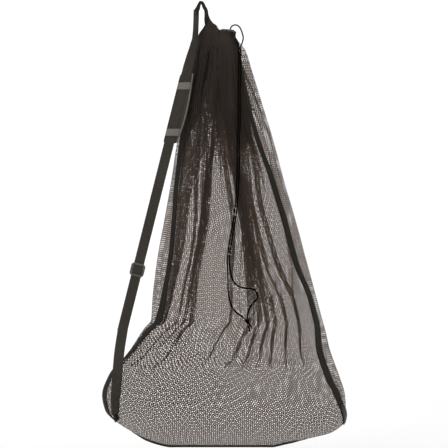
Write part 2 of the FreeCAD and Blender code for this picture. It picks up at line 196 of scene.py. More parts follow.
def on_loop(z, s, depth=0.0):
    """Points at distances s round the level z, moved in by depth."""
    ls, x, y, nx, ny = loop_at(z)
    px, py = np.interp(s, ls, x), np.interp(s, ls, y)
    ux, uy = np.interp(s, ls, nx), np.interp(s, ls, ny)
    return np.stack([px - ux * depth, py - uy * depth, np.full_like(px, z)], -1)


# ---------------------------------------------------------------- cords (mm), on the CAD routes
def front_y(x, z, clear):
    return float(-half_depth(np.array([x]), z)[0]) - clear


def on_front(points, clear):
    return [(x, min(front_y(x + d, z, clear) for d in (-3, 0, 3)), z) for x, z in points]


HINGE_Y, HINGE_Z = -23.0, -99.0
TOP_LOOP = [
    (65.3, -6.5, -58.5),
    (65.4, -6.9, -54.9),
    (69.5, -7.6, -49.1),
    (76.3, -8.6, -46.9),
    (83.1, -10.4, -49.1),
    (87.9, -12.4, -55.2),
    (91.5, -15.5, -65.0),
    (94.5, -18.5, -76.0),
    (92.5, -21.5, -87.0),
    (88.3, HINGE_Y + 0.2, HINGE_Z + 1.8),
]
SHORT_LEAD = [(76.0, -17.0, -78.0), (80.5, -23.5, -86.0), (83.7, HINGE_Y + 0.2, HINGE_Z + 1.8)]
UPPER = [(88.3, -146), (86.2, -200), (87.0, -256), (84.0, -312), (84.8, -368), (82.0, -424), (77.0, -476), (67.5, -524), (62.0, -570)]
left_low = [(60.4, -608.0), (60.0, -636.0), (65.0, -662.0), (78.0, -681.5), (94.0, -690.0), (101.0, -697.5)]
right_low = [(66.5, -601.0), (76.5, -621.5), (97.0, -628.0), (118.5, -628.5), (127.0, -648.0), (113.0, -661.0), (102.5, -677.0), (101.0, -697.5)]
LEFT = [(83.7, HINGE_Y, HINGE_Z - 1.8)] + on_front([(x - 3.9, z) for x, z in UPPER] + left_low, 4.6)
RIGHT = [(87.9, HINGE_Y, HINGE_Z - 1.8)] + on_front([(x + 0.4, z) for x, z in UPPER] + right_low, 4.6)
LEFT[-1] = (LEFT[-1][0], LEFT[-1][1] - 3.0, LEFT[-1][2])
LEFT[-2] = (LEFT[-2][0], LEFT[-2][1] - 1.5, LEFT[-2][2])
RIGHT[-2] = (RIGHT[-2][0], RIGHT[-2][1] - 1.5, RIGHT[-2][2])
RIGHT[-1] = LEFT[-1]
KNOT = np.array(LEFT[-1])
ky = LEFT[-1][1]
TAIL_A = [(100.8, ky, -697.5), (103.0, ky - 0.5, -708.0), (107.5, ky - 0.8, -720.0)]
TAIL_B = [(101.6, ky, -697.5), (107.2, ky + 0.2, -707.0), (113.5, ky - 0.2, -715.5)]
CORD_D = 3.2


def add(name, data):
    o = bpy.data.objects.new(name, data)
    scene.collection.objects.link(o)
    return o


def cord_curve(name, points, d):
    cu = bpy.data.curves.new(name, "CURVE")
    cu.dimensions = "3D"
    sp = cu.splines.new("NURBS")
    sp.points.add(len(points) - 1)
    for p, q in zip(sp.points, points):
        p.co = (q[0] * MM, q[1] * MM, q[2] * MM, 1)
    sp.order_u = 3
    sp.use_endpoint_u = True
    sp.resolution_u = 16
    cu.bevel_depth = d / 2 * MM
    cu.bevel_resolution = 3
    cu.use_fill_caps = True
    return add(name, cu)


cord_top = cord_curve("cord_top_loop", TOP_LOOP, CORD_D)
cord_short = cord_curve("cord_short_lead", SHORT_LEAD, CORD_D)
cord_left = cord_curve("cord_left_strand", LEFT, CORD_D)
cord_right = cord_curve("cord_right_strand", RIGHT, CORD_D)
tail_a = cord_curve("cord_tail_a", TAIL_A, CORD_D - 0.4)
tail_b = cord_curve("cord_tail_b", TAIL_B, CORD_D - 0.4)


# ---------------------------------------------------------------- materials
def node_material(name):
    m = bpy.data.materials.new(name)
    m.use_nodes = True
    nt = m.node_tree
    return m, nt, nt.nodes["Principled BSDF"]


def link_colour(nt, bsdf, factor, low, high, lo=0.3, hi=0.7):
    ramp = nt.nodes.new("ShaderNodeValToRGB")
    ramp.color_ramp.elements[0].position = lo
    ramp.color_ramp.elements[1].position = hi
    ramp.color_ramp.elements[0].color = (*low, 1)
    ramp.color_ramp.elements[1].color = (*high, 1)
    nt.links.new(factor, ramp.inputs[0])
    nt.links.new(ramp.outputs[0], bsdf.inputs["Base Color"])
    return ramp


def mapped(nt, output, scale, rotation=(0, 0, 0)):
    tc = nt.nodes.new("ShaderNodeTexCoord")
    mp = nt.nodes.new("ShaderNodeMapping")
    mp.inputs["Scale"].default_value = scale
    mp.inputs["Rotation"].default_value = rotation
    nt.links.new(tc.outputs[output], mp.inputs["Vector"])
    return mp.outputs[0]


def math_node(nt, op, a, b):
    n = nt.nodes.new("ShaderNodeMath")
    n.operation = op
    for i, v in enumerate((a, b)):
        if hasattr(v, "links") or hasattr(v, "is_output"):
            nt.links.new(v, n.inputs[i])
        else:
            n.inputs[i].default_value = v
    return n.outputs[0]


def woven(name, low, high, pitch_u, pitch_v, rough=0.75, bump=0.35, sheen=0.04, diagonal=0.0, grain=220.0, spec=0.15):
    """Woven cloth: two crossed rows of yarn on the piece's own UVs, in metres, with a little wear and dye variation."""
    m, nt, bsdf = node_material(name)
    uv = mapped(nt, "UV", (1 / pitch_u, 1 / pitch_v, 1), (0, 0, diagonal))
    sep = nt.nodes.new("ShaderNodeSeparateXYZ")
    nt.links.new(uv, sep.inputs[0])
    waves = []
    for axis in (0, 1):
        waves.append(math_node(nt, "SINE", math_node(nt, "MULTIPLY", sep.outputs[axis], 2 * math.pi), 0))
    product = math_node(nt, "MULTIPLY", waves[0], waves[1])
    weave = math_node(nt, "MULTIPLY_ADD", product, 0.5)
    weave.node.inputs[2].default_value = 0.5
    noise = nt.nodes.new("ShaderNodeTexNoise")
    noise.inputs["Scale"].default_value = grain
    noise.inputs["Detail"].default_value = 4
    nt.links.new(mapped(nt, "Object", (1, 1, 1)), noise.inputs["Vector"])
    broad = nt.nodes.new("ShaderNodeTexNoise")
    broad.inputs["Scale"].default_value = 14
    broad.inputs["Detail"].default_value = 3
    nt.links.new(mapped(nt, "Object", (1, 1, 1)), broad.inputs["Vector"])
    mix = math_node(nt, "ADD", math_node(nt, "MULTIPLY", weave, 0.45), math_node(nt, "MULTIPLY", noise.outputs[0], 0.3))
    mix = math_node(nt, "ADD", mix, math_node(nt, "MULTIPLY", broad.outputs[0], 0.25))
    link_colour(nt, bsdf, mix, low, high)
    height = math_node(nt, "ADD", weave, math_node(nt, "MULTIPLY", noise.outputs[0], 0.4))
    b = nt.nodes.new("ShaderNodeBump")
    b.inputs["Strength"].default_value = bump
    b.inputs["Distance"].default_value = 0.0006
    nt.links.new(height, b.inputs["Height"])
    nt.links.new(b.outputs[0], bsdf.inputs["Normal"])
    bsdf.inputs["Roughness"].default_value = rough
    bsdf.inputs["Specular IOR Level"].default_value = spec
    bsdf.inputs["Sheen Weight"].default_value = sheen
    bsdf.inputs["Sheen Roughness"].default_value = 0.4
    return m


def yarn(name, low, high, rough=0.65, scale=700.0, spec=0.15, sheen=0.0, through=None, share=0.0):
    """Plain yarn or cord without UVs of its own: fibres run as fine streaks with dye variation."""
    m, nt, bsdf = node_material(name)
    noise = nt.nodes.new("ShaderNodeTexNoise")
    noise.inputs["Scale"].default_value = scale
    noise.inputs["Detail"].default_value = 3
    nt.links.new(mapped(nt, "Object", (1, 1, 0.35)), noise.inputs["Vector"])
    broad = nt.nodes.new("ShaderNodeTexNoise")
    broad.inputs["Scale"].default_value = 9
    nt.links.new(mapped(nt, "Object", (1, 1, 0.3)), broad.inputs["Vector"])
    mix = math_node(nt, "ADD", math_node(nt, "MULTIPLY", noise.outputs[0], 0.6), math_node(nt, "MULTIPLY", broad.outputs[0], 0.4))
    link_colour(nt, bsdf, mix, low, high, 0.35, 0.65)
    b = nt.nodes.new("ShaderNodeBump")
    b.inputs["Strength"].default_value = 0.3
    b.inputs["Distance"].default_value = 0.0003
    nt.links.new(noise.outputs[0], b.inputs["Height"])
    nt.links.new(b.outputs[0], bsdf.inputs["Normal"])
    bsdf.inputs["Roughness"].default_value = rough
    bsdf.inputs["Specular IOR Level"].default_value = spec
    bsdf.inputs["Sheen Weight"].default_value = sheen
    if through is not None:
        # light from behind comes through the thin yarn
        passed = nt.nodes.new("ShaderNodeBsdfTranslucent")
        passed.inputs["Color"].default_value = (*through, 1.0)
        both = nt.nodes.new("ShaderNodeMixShader")
        both.inputs[0].default_value = share
        out = [n for n in nt.nodes if n.type == "OUTPUT_MATERIAL"][0]
        nt.links.new(bsdf.outputs[0], both.inputs[1])
        nt.links.new(passed.outputs[0], both.inputs[2])
        nt.links.new(both.outputs[0], out.inputs["Surface"])
    return m


def moulded(name, low, high, rough=0.42):
    m, nt, bsdf = node_material(name)
    noise = nt.nodes.new("ShaderNodeTexNoise")
    noise.inputs["Scale"].default_value = 160
    noise.inputs["Detail"].default_value = 5
    nt.links.new(mapped(nt, "Object", (1, 1, 1)), noise.inputs["Vector"])
    link_colour(nt, bsdf, noise.outputs[0], low, high)
    b = nt.nodes.new("ShaderNodeBump")
    b.inputs["Strength"].default_value = 0.12
    b.inputs["Distance"].default_value = 0.0003
    nt.links.new(noise.outputs[0], b.inputs["Height"])
    nt.links.new(b.outputs[0], bsdf.inputs["Normal"])
    ro = math_node(nt, "MULTIPLY_ADD", noise.outputs[0], 0.25)
    ro.node.inputs[2].default_value = rough - 0.12
    nt.links.new(ro, bsdf.inputs["Roughness"])
    return m


NET = yarn("net_yarn", (0.028, 0.022, 0.018), (0.074, 0.058, 0.048), rough=0.6, scale=900, through=(0.23, 0.145, 0.090), share=0.42)
TAPE = woven("tape_weave", (0.007, 0.006, 0.005), (0.030, 0.025, 0.021), 0.0016, 0.0022)
# near black: the casing's own dark cloth, also used for the sheet of painted shade inside the neck
HEM_AND_SHADE = woven("hem_and_shade_cloth", (0.0015, 0.0012, 0.001), (0.007, 0.006, 0.0055), 0.0044, 0.0044, diagonal=0.785, bump=0.6)
WEB = woven("strap_webbing", (0.028, 0.025, 0.020), (0.062, 0.055, 0.046), 0.0028, 0.0017, bump=0.5)
PADC = woven("pad_cloth", (0.034, 0.031, 0.023), (0.072, 0.065, 0.050), 0.0013, 0.0013, bump=0.4)
TRIM = woven("pad_trim_weave", (0.12, 0.108, 0.097), (0.24, 0.218, 0.196), 0.0016, 0.0012, bump=0.35)
TRIM_DARK = woven("pad_edge_weave", (0.006, 0.006, 0.006), (0.018, 0.017, 0.016), 0.0016, 0.0012, bump=0.3)
# light grey: painted sheen along the hem's folded upper edge
EDGE_SHEEN = woven("mouth_binding_painted_sheen", (0.060, 0.062, 0.056), (0.150, 0.153, 0.140), 0.0016, 0.0012, bump=0.35)
CORD = yarn("cord_braid", (0.0015, 0.0013, 0.0012), (0.006, 0.005, 0.0045), rough=0.85, scale=1200, spec=0.01)
LEATHER = moulded("corner_leather", (0.003, 0.003, 0.003), (0.010, 0.0095, 0.009), rough=0.24)
PLASTIC = moulded("slider_plastic", (0.055, 0.053, 0.048), (0.085, 0.082, 0.075), rough=0.40)
THREAD = yarn("stitch_thread", (0.012, 0.011, 0.010), (0.045, 0.040, 0.036), scale=1500)


def finish_piece(o, material, body, slot_name, *nodes):
    if material is not None:
        o.data.materials.clear()
        o.data.materials.append(material)
    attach(o, body)
    if nodes:
        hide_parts(*nodes)
    return o


for o in (cord_top, cord_short):
    finish_piece(o, CORD, "bag", "cord")
for o in (cord_left, cord_right, tail_a, tail_b):
    finish_piece(o, CORD, "hanging_drawcord", "cord")
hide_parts("drawcord_top_loop", "drawcord_in_casing")
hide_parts("drawcord_short_lead")
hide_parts("drawcord_left_strand")
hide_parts("drawcord_right_strand")
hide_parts("drawcord_tails")


# ---------------------------------------------------------------- mesh helpers
def mesh_piece(name, verts_mm, faces, uvs=None, smooth=True):
    """faces: (n, k) index array or list of index lists; uvs: one pair per corner, in metres."""
    me = bpy.data.meshes.new(name)
    verts = np.asarray(verts_mm, float) * MM
    if isinstance(faces, np.ndarray):
        n, k = faces.shape
        me.vertices.add(len(verts))
        me.vertices.foreach_set("co", verts.astype(np.float32).ravel())
        me.loops.add(n * k)
        me.loops.foreach_set("vertex_index", faces.astype(np.int32).ravel())
        me.polygons.add(n)
        me.polygons.foreach_set("loop_start", np.arange(0, n * k, k, dtype=np.int32))
        me.update(calc_edges=True)
    else:
        me.from_pydata([tuple(v) for v in verts], [], faces)
        me.update()
    if uvs is not None:
        layer = me.uv_layers.new(name="UVMap")
        layer.data.foreach_set("uv", np.asarray(uvs, np.float32).ravel())
    me.polygons.foreach_set("use_smooth", np.full(len(me.polygons), smooth))
    return add(name, me)


def loft(name, rings, caps=True, smooth=True):
    """A closed tube through rings of points (rows, points round, 3), in mm, with UVs in metres."""
    rings = np.asarray(rings, float)
    n, m, _ = rings.shape
    i, j = np.meshgrid(np.arange(n - 1), np.arange(m), indexing="ij")
    j1 = (j + 1) % m
    quads = np.stack([i * m + j, i * m + j1, (i + 1) * m + j1, (i + 1) * m + j], -1).reshape(-1, 4)
    closed = np.concatenate([rings, rings[:, :1]], 1)
    around = np.concatenate([np.zeros((n, 1)), np.cumsum(np.linalg.norm(np.diff(closed, axis=1), axis=2), 1)], 1)
    along = np.concatenate([[0], np.cumsum(np.linalg.norm(np.diff(rings.mean(1), axis=0), axis=1))])
    u = np.stack([around[i, j], around[i, j + 1], around[i + 1, j + 1], around[i + 1, j]], -1)
    v = np.stack([along[i], along[i], along[i + 1], along[i + 1]], -1)
    uv = (np.stack([u, v], -1) * MM).reshape(-1, 2)
    faces = [list(map(int, q)) for q in quads]
    uvs = [tuple(p) for p in uv]
    if caps:
        for row, order in ((0, range(m - 1, -1, -1)), (n - 1, range(m))):
            faces.append([row * m + k for k in order])
            uvs += [(rings[row, k, 0] * MM, rings[row, k, 1] * MM) for k in order]
    return mesh_piece(name, rings.reshape(-1, 3), faces, uvs, smooth)


def grid_sheet(name, pts, smooth=True, closed=False):
    """An open sheet through a grid of points (rows, columns, 3), in mm, with UVs in metres."""
    pts = np.asarray(pts, float)
    n, m, _ = pts.shape
    cols = m if closed else m - 1
    i, j = np.meshgrid(np.arange(n - 1), np.arange(cols), indexing="ij")
    j1 = (j + 1) % m
    quads = np.stack([i * m + j, i * m + j1, (i + 1) * m + j1, (i + 1) * m + j], -1).reshape(-1, 4)
    wide = np.concatenate([pts, pts[:, :1]], 1) if closed else pts
    across = np.concatenate([np.zeros((n, 1)), np.cumsum(np.linalg.norm(np.diff(wide, axis=1), axis=2), 1)], 1)
    down = np.concatenate([[0], np.cumsum(np.linalg.norm(np.diff(pts, axis=0), axis=2).mean(1))])
    u = np.stack([across[i, j], across[i, j + 1], across[i + 1, j + 1], across[i + 1, j]], -1)
    v = np.stack([down[i], down[i], down[i + 1], down[i + 1]], -1)
    uv = (np.stack([u, v], -1) * MM).reshape(-1, 2)
    return mesh_piece(name, pts.reshape(-1, 3), quads, uv, smooth)


def unit(a):
    return a / (np.linalg.norm(a, axis=-1, keepdims=True) + 1e-12)


def smooth_path(points, step=2.0):
    """A centripetal spline through points, at even steps."""
    p = np.asarray(points, float)
    p = np.vstack([2 * p[0] - p[1], p, 2 * p[-1] - p[-2]])
    out = []
    for k in range(1, len(p) - 2):
        a, b, c, d = p[k - 1], p[k], p[k + 1], p[k + 2]
        ta, tb, tc = (np.linalg.norm(b - a) ** 0.5, np.linalg.norm(c - b) ** 0.5, np.linalg.norm(d - c) ** 0.5)
        t1, t2, t3 = ta, ta + tb, ta + tb + tc
        for t in np.linspace(t1, t2, max(int(np.linalg.norm(c - b) / step), 2), endpoint=False):
            a1 = a * (t1 - t) / t1 + b * t / t1
            a2 = b * (t2 - t) / (t2 - t1) + c * (t - t1) / (t2 - t1)
            a3 = c * (t3 - t) / (t3 - t2) + d * (t - t2) / (t3 - t2)
            b1 = a1 * (t2 - t) / t2 + a2 * t / t2
            b2 = a2 * (t3 - t) / (t3 - t1) + a3 * (t - t1) / (t3 - t1)
            out.append(b1 * (t2 - t) / (t2 - t1) + b2 * (t - t1) / (t2 - t1))
    out.append(p[-2])
    return np.array(out)


def carried(values, path_keys, path):
    """Values given at key points, spread along a path by distance."""
    keys = np.asarray(path_keys, float)
    at = [int(np.argmin(np.linalg.norm(path - k, axis=1))) for k in keys]
    s = np.concatenate([[0], np.cumsum(np.linalg.norm(np.diff(path, axis=0), axis=1))])
    v = np.asarray(values, float)
    if v.ndim == 1:
        return np.interp(s, s[at], v)
    return np.stack([np.interp(s, s[at], v[:, c]) for c in range(v.shape[1])], -1)


def ribbon(name, path, across, width, thick, edge=0.25, ribs=0, crown=0.0, points=14):
    """Webbing: a rounded flat section swept along a path, with raised selvedges and rows of ribs along it."""
    path = np.asarray(path, float)
    t = unit(np.gradient(path, axis=0))
    w = np.asarray(across, float)
    if w.ndim == 1:
        w = np.tile(w, (len(path), 1))
    w = unit(w - t * (w * t).sum(1, keepdims=True))
    nrm = np.cross(t, w)
    nrm = unit(nrm)
    flip = np.where(nrm[:, 1:2] > 0, -1.0, 1.0)
    nrm = nrm * (flip if np.all(flip == flip[0]) else flip[len(flip) // 2])
    width = np.broadcast_to(np.asarray(width, float), (len(path),))
    thick = np.broadcast_to(np.asarray(thick, float), (len(path),))
    a = np.linspace(-1, 1, points)
    half = 0.5 * np.sqrt(np.clip(1 - np.abs(a) ** 10, 0.05, 1)) + 0.5 * edge * (np.exp(-(((np.abs(a) - 0.9) / 0.06) ** 2)))
    if ribs:
        half = half + 0.06 * np.cos(a * math.pi * ribs)
    prof_w = np.concatenate([a, a[::-1]])
    prof_n = np.concatenate([half, -half[::-1]])
    lift = crown * (1 - prof_w**2)
    rings = (
        path[:, None, :]
        + w[:, None, :] * (prof_w[None, :, None] * width[:, None, None] / 2)
        + nrm[:, None, :] * (prof_n[None, :, None] * thick[:, None, None] + lift[None, :, None])
    )
    return loft(name, rings)


def tube(name, path, radius, points=12, squash_n=1.0, across=None):
    path = np.asarray(path, float)
    t = unit(np.gradient(path, axis=0))
    ref = np.array([0.0, 1.0, 0.0]) if across is None else np.asarray(across, float)
    w = unit(np.cross(t, np.tile(ref, (len(path), 1))))
    b = unit(np.cross(w, t))
    radius = np.broadcast_to(np.asarray(radius, float), (len(path),))
    a = np.linspace(0, 2 * math.pi, points, endpoint=False)
    rings = path[:, None, :] + radius[:, None, None] * (
        w[:, None, :] * np.cos(a)[None, :, None] + b[:, None, :] * squash_n * np.sin(a)[None, :, None]
    )
    return loft(name, rings)


def px(x, y):
    """A place across and up the front, in mm."""
    return (x - 200.8) * 2.22, (4 - y) * 2.22


# ---------------------------------------------------------------- the collar's shape
Z_COLLAR = -98.0
TOP_X = np.array([7.5, 9.0, 11.0, 14.0, 18.0, 22.0, 25.0, 32.6, 36.0, 38.5, 41.5, 45.0, 48.0, 56.0, 66.0, 73.0, 76.0])
TOP_Z = np.array([-54.0, -50.5, -47.0, -42.0, -37.0, -39.5, -42.0, -46.5, -51.0, -56.0, -59.5, -59.0, -57.6, -58.0, -58.4, -59.5, -62.0])


def collar_point(theta, t, inset=0.0):
    """A point of the gathered collar: theta as round the body, t from 0 at its foot to 1 at its rim."""
    theta = np.asarray(theta, float)
    xl, xr = level_at(Z_COLLAR)[:2]
    cx, a = (xl + xr) / 2, (xr - xl) / 2
    c, s_ = np.cos(theta), np.sin(theta)
    foot_x, foot_y = cx - (a - inset) * c, -(level_at(Z_COLLAR)[2] - inset) * s_
    rim_x, rim_y = 42.3 - (34.6 - inset) * c, -(11.6 - inset) * s_
    rim_z = np.interp(rim_x, TOP_X, TOP_Z)
    # the left side is drawn up in a rounded shoulder, the right side runs nearly straight to the rim
    right = np.clip(-c, 0, 1) ** 0.7
    e = (1 - right) * t + right * min(t / 0.66, 1.0) ** 0.85
    shoulder = 6.5 * math.sin(math.pi * t**1.3) * np.clip(c, 0, 1)
    x = foot_x * (1 - e) + rim_x * e - shoulder
    y = (foot_y * (1 - e) + rim_y * e) * (1 + 0.10 * math.sin(math.pi * t))
    z = Z_COLLAR * (1 - t) + rim_z * t
    return np.stack([x, y, z + 0 * x], -1)


# ---------------------------------------------------------------- the net
ZW = -885.0
TURN = 0.95
SEG = 2 * math.pi * TURN
_phi = np.linspace(1e-4, math.pi, 400)
_use = 1 - np.sin(_phi) / _phi


class Fold:
    """One knife pleat running down the cloth: where it sits across, its share, which way it leans and where it ends."""

    def __init__(self, at, share, lean, end, fade=110.0, drift=0.0):
        self.at, self.share, self.lean, self.end, self.fade = at, share, lean, end, fade
        self.drift, self.u = drift, 0.0

    def weight(self, z):
        t = min(max((z - self.end) / self.fade, 0.0), 1.0)
        return self.share * t * t * (3 - 2 * t)


class Panel:
    def __init__(self, name, width, side, margins):
        self.name, self.width, self.side, self.margins, self.cells = name, width, side, margins, None

    def start_s(self, z):
        return seam_s(z, "left" if self.side == "front" else "right")

    def length(self, z):
        s0 = self.start_s(z)
        if self.side == "front":
            return seam_s(z, "right") - s0
        ls = loop_at(z)[0]
        return float(np.interp(2 * math.pi + seam_theta(z, "left"), TH, ls)) - s0

    def shares(self, z):
        spare = max(self.width - self.length(z), 0.0)
        own = np.array([f.weight(z) for f in self.folds])
        if self.cells is not None:
            t = min(max((z + 560.0) / 400.0, 0.0), 1.0)
            even = t * t * (3 - 2 * t)
            there = own / np.array([f.share for f in self.folds])
            own = (1 - even) * own / sum(f.share for f in self.folds) + even * there * self.cells
        return own / max(own.sum(), 1e-6) * spare, spare

    def place(self, z0):
        """Sets each fold's place in the flat cloth from where it lies at the level z0."""
        q, _ = self.shares(z0)
        used = 0.0
        for f, qi in zip(self.folds, q):
            f.u = f.at + used + 0.5 * qi
            used += qi
        k = self.width / (self.length(z0) + used)
        for f in self.folds:
            f.u *= k
        at = np.array([f.u for f in self.folds])
        ends = np.concatenate([[self.margins[0]], (at[1:] + at[:-1]) / 2, [self.width - self.margins[1]]])
        self.cells = np.clip(np.diff(ends), 2.0, None)
        self.cells /= self.cells.sum()

    def row(self, z, u):
        """Distance round the level and depth below the surface for the flat positions u."""
        q, spare = self.shares(z)
        phi = np.zeros_like(u)
        depth = np.zeros_like(u)
        du = u[1] - u[0]
        # no two folds share cloth: each moves aside as its neighbour grows
        half = np.where(q < SEG, SEG * np.clip(q / 3.0, 0, 1), SEG + (q - SEG) / 2) / 2 + 0.4
        rising = min(max((z + 657.0) / 240.0, 0.0), 1.0)
        rising = rising * rising * (3 - 2 * rising)
        mid = np.array([f.u + f.drift * rising for f in self.folds])
        for _ in range(60):
            need = (half[1:] + half[:-1]) - np.diff(mid)
            push = np.clip(need, 0, None) * 0.5
            mid[:-1] -= push
            mid[1:] += push
            mid = np.clip(mid, half, self.width - half)
        for f, qi, at_u in zip(self.folds, q, mid):
            if qi < 0.05:
                continue
            if qi < SEG:
                peak, back = float(np.interp(qi / SEG, _use, _phi)), 0.0
            else:
                peak, back = math.pi, (qi - SEG) / 2
            seg = SEG + back
            reach = max(15.0, 0.8 * back)
            t = (u - (at_u - seg / 2)) / seg
            e = (SEG / 2) / seg
            inside = (t > 0) & (t < 1)
            p = np.where(t < e, t / e, np.where(t > 1 - e, (1 - t) / e, 1.0)) * peak
            p = np.where(inside, p, 0.0)
            phi += p * f.lean
            step = np.cumsum(np.where(inside, np.sin(p), 0.0)) * du
            drop = float(step[-1])
            if f.lean > 0:
                after = np.clip((u - (at_u + seg / 2)) / reach, 0, None)
                depth += step * np.where(t >= 1, np.exp(-after), 1.0)
            else:
                before = np.clip(((at_u - seg / 2) - u) / reach, 0, None)
                depth += np.where(t <= 0, drop * np.exp(-before), drop - step)
        s = np.concatenate([[0], np.cumsum(np.cos(0.5 * (phi[1:] + phi[:-1])))]) * du
        s = s * (self.length(z) / max(s[-1], 1.0))
        # between its folds the cloth bellies out, so that each fold is a crease
        edges = np.concatenate([[s.min() - 1.0], np.sort(np.interp(mid, u, s)), [s.max() + 1.0]])
        wide = np.maximum(np.diff(edges), 0.5)
        cell = np.clip(np.searchsorted(edges, s) - 1, 0, len(wide) - 1)
        frac = np.clip((s - edges[cell]) / wide[cell], 0, 1)
        tall = 1.0 + 2.6 * min(max((z + 480.0) / 330.0, 0.0), 1.0)
        sink = np.minimum(0.22 * wide[cell], tall) * min(max((z + 800.0) / 120.0, 0.0), 1.0)
        return s, depth + sink * (1 - 4 * frac * (1 - frac))

    def build(self, step_v=4.0):
        self.u = np.linspace(0, self.width, int(self.width) + 1)
        zs = [Z_COLLAR]
        while zs[-1] > ZW:
            zs.append(max(zs[-1] - step_v, ZW))
        rows, vs = [], [0.0]
        s, d = self.row(Z_COLLAR, self.u)
        theta = np.interp(self.start_s(Z_COLLAR) + s, loop_at(Z_COLLAR)[0], TH)
        d = 6.0 * (1 - np.exp(-d / 6.0))
        out = np.stack([-np.cos(theta), -np.sin(theta), 0 * theta], -1)
        for t in np.linspace(1.0, 0.0, 13)[:-1]:
            rows.append(collar_point(theta, t) + out * (0.9 - 0.62 * d * (1 - 0.45 * t))[:, None])
            vs.append(vs[-1] + 3.9)
        last = None
        for z in zs:
            s, d = self.row(z, self.u)
            limit = max(level_at(z)[2] * 0.8, 6.0)
            d = limit * (1 - np.exp(-d / limit))
            if z > -140:
                d = d * (0.5 + 0.5 * (z - Z_COLLAR) / (-140 - Z_COLLAR))
            p = on_loop(z, self.start_s(z) + s, d)
            rows.append(p)
            depth = level_at(z)[2]
            if last is not None:
                vs.append(vs[-1] + math.hypot(last[0] - z, last[1] - depth))
            last = (z, depth)
        self.v_w = vs[-1]
        base = rows[-1]
        zg = np.arange(ZW, -980.01, -1.0)
        x0 = base[:, 0]
        sign = np.where(base[:, 1] < 0, -1.0, 1.0)
        h = np.stack([half_depth(x0, z) for z in zg])
        gap = h[0] - np.abs(base[:, 1])
        fade = np.clip((zg - (-980)) / (ZW - (-980)), 0, 1)[:, None]
        y = np.clip(h - gap[None, :] * fade, 0, None)
        run = np.vstack([np.zeros((1, len(x0))), np.cumsum(np.hypot(1.0, np.diff(y, axis=0)), 0)])
        lim = np.array([level_at(z)[:2] for z in zg])
        out = (x0[None, :] < lim[:, :1] + 0.4) | (x0[None, :] > lim[:, 1:2] - 0.4)
        end = np.where(out.any(0), out.argmax(0), len(zg) - 1)
        far = run[end, np.arange(len(x0))]
        self.v_end = self.v_w + far
        extra = np.arange(3.0, far.max() + 3.0, 3.0)
        for e in extra:
            zrow, yrow = np.empty(len(x0)), np.empty(len(x0))
            for k in range(len(x0)):
                dist = min(e, far[k])
                zrow[k] = np.interp(dist, run[:, k], zg)
                yrow[k] = np.interp(dist, run[:, k], y[:, k])
            rows.append(np.stack([x0, sign * yrow, zrow], -1))
            vs.append(self.v_w + e)
        self.table, self.vs = np.array(rows), np.array(vs)
        if self.side == "front":
            # the cloth lies behind the hanging strands of the drawcord
            x, y, z = self.table[..., 0], self.table[..., 1], self.table[..., 2]
            for line in (LEFT, RIGHT):
                line = np.array(line, float)
                run_ = np.concatenate([[0], np.cumsum(np.linalg.norm(np.diff(line, axis=0), axis=1))])
                at_ = np.arange(0, run_[-1], 3.0)
                for px_, py_, pz_ in np.stack([np.interp(at_, run_, line[:, k]) for k in range(3)], -1):
                    near = (x - px_) ** 2 + (z - pz_) ** 2
                    hit = (near < 64.0) & (y < py_ + 3.0)
                    y[hit] = np.maximum(y[hit], py_ + 2.6 - 0.03 * near[hit])
        # directions square to the cloth, for the thread's relief
        gu = np.gradient(self.table, axis=1)
        gv = np.gradient(self.table, axis=0)
        self.normal = unit(np.cross(gv, gu))

    def at(self, u, v, table):
        iu = np.clip(u / (self.u[1] - self.u[0]), 0, len(self.u) - 1.001)
        iv = np.clip(np.interp(v, self.vs, np.arange(len(self.vs))), 0, len(self.vs) - 1.001)
        i0, j0 = iv.astype(int), iu.astype(int)
        a, b = (iv - i0)[:, None], (iu - j0)[:, None]
        return (
            table[i0, j0] * (1 - a) * (1 - b)
            + table[i0, j0 + 1] * (1 - a) * b
            + table[i0 + 1, j0] * a * (1 - b)
            + table[i0 + 1, j0 + 1] * a * b
        )


PITCH = 5.2
HOLE = 0.655


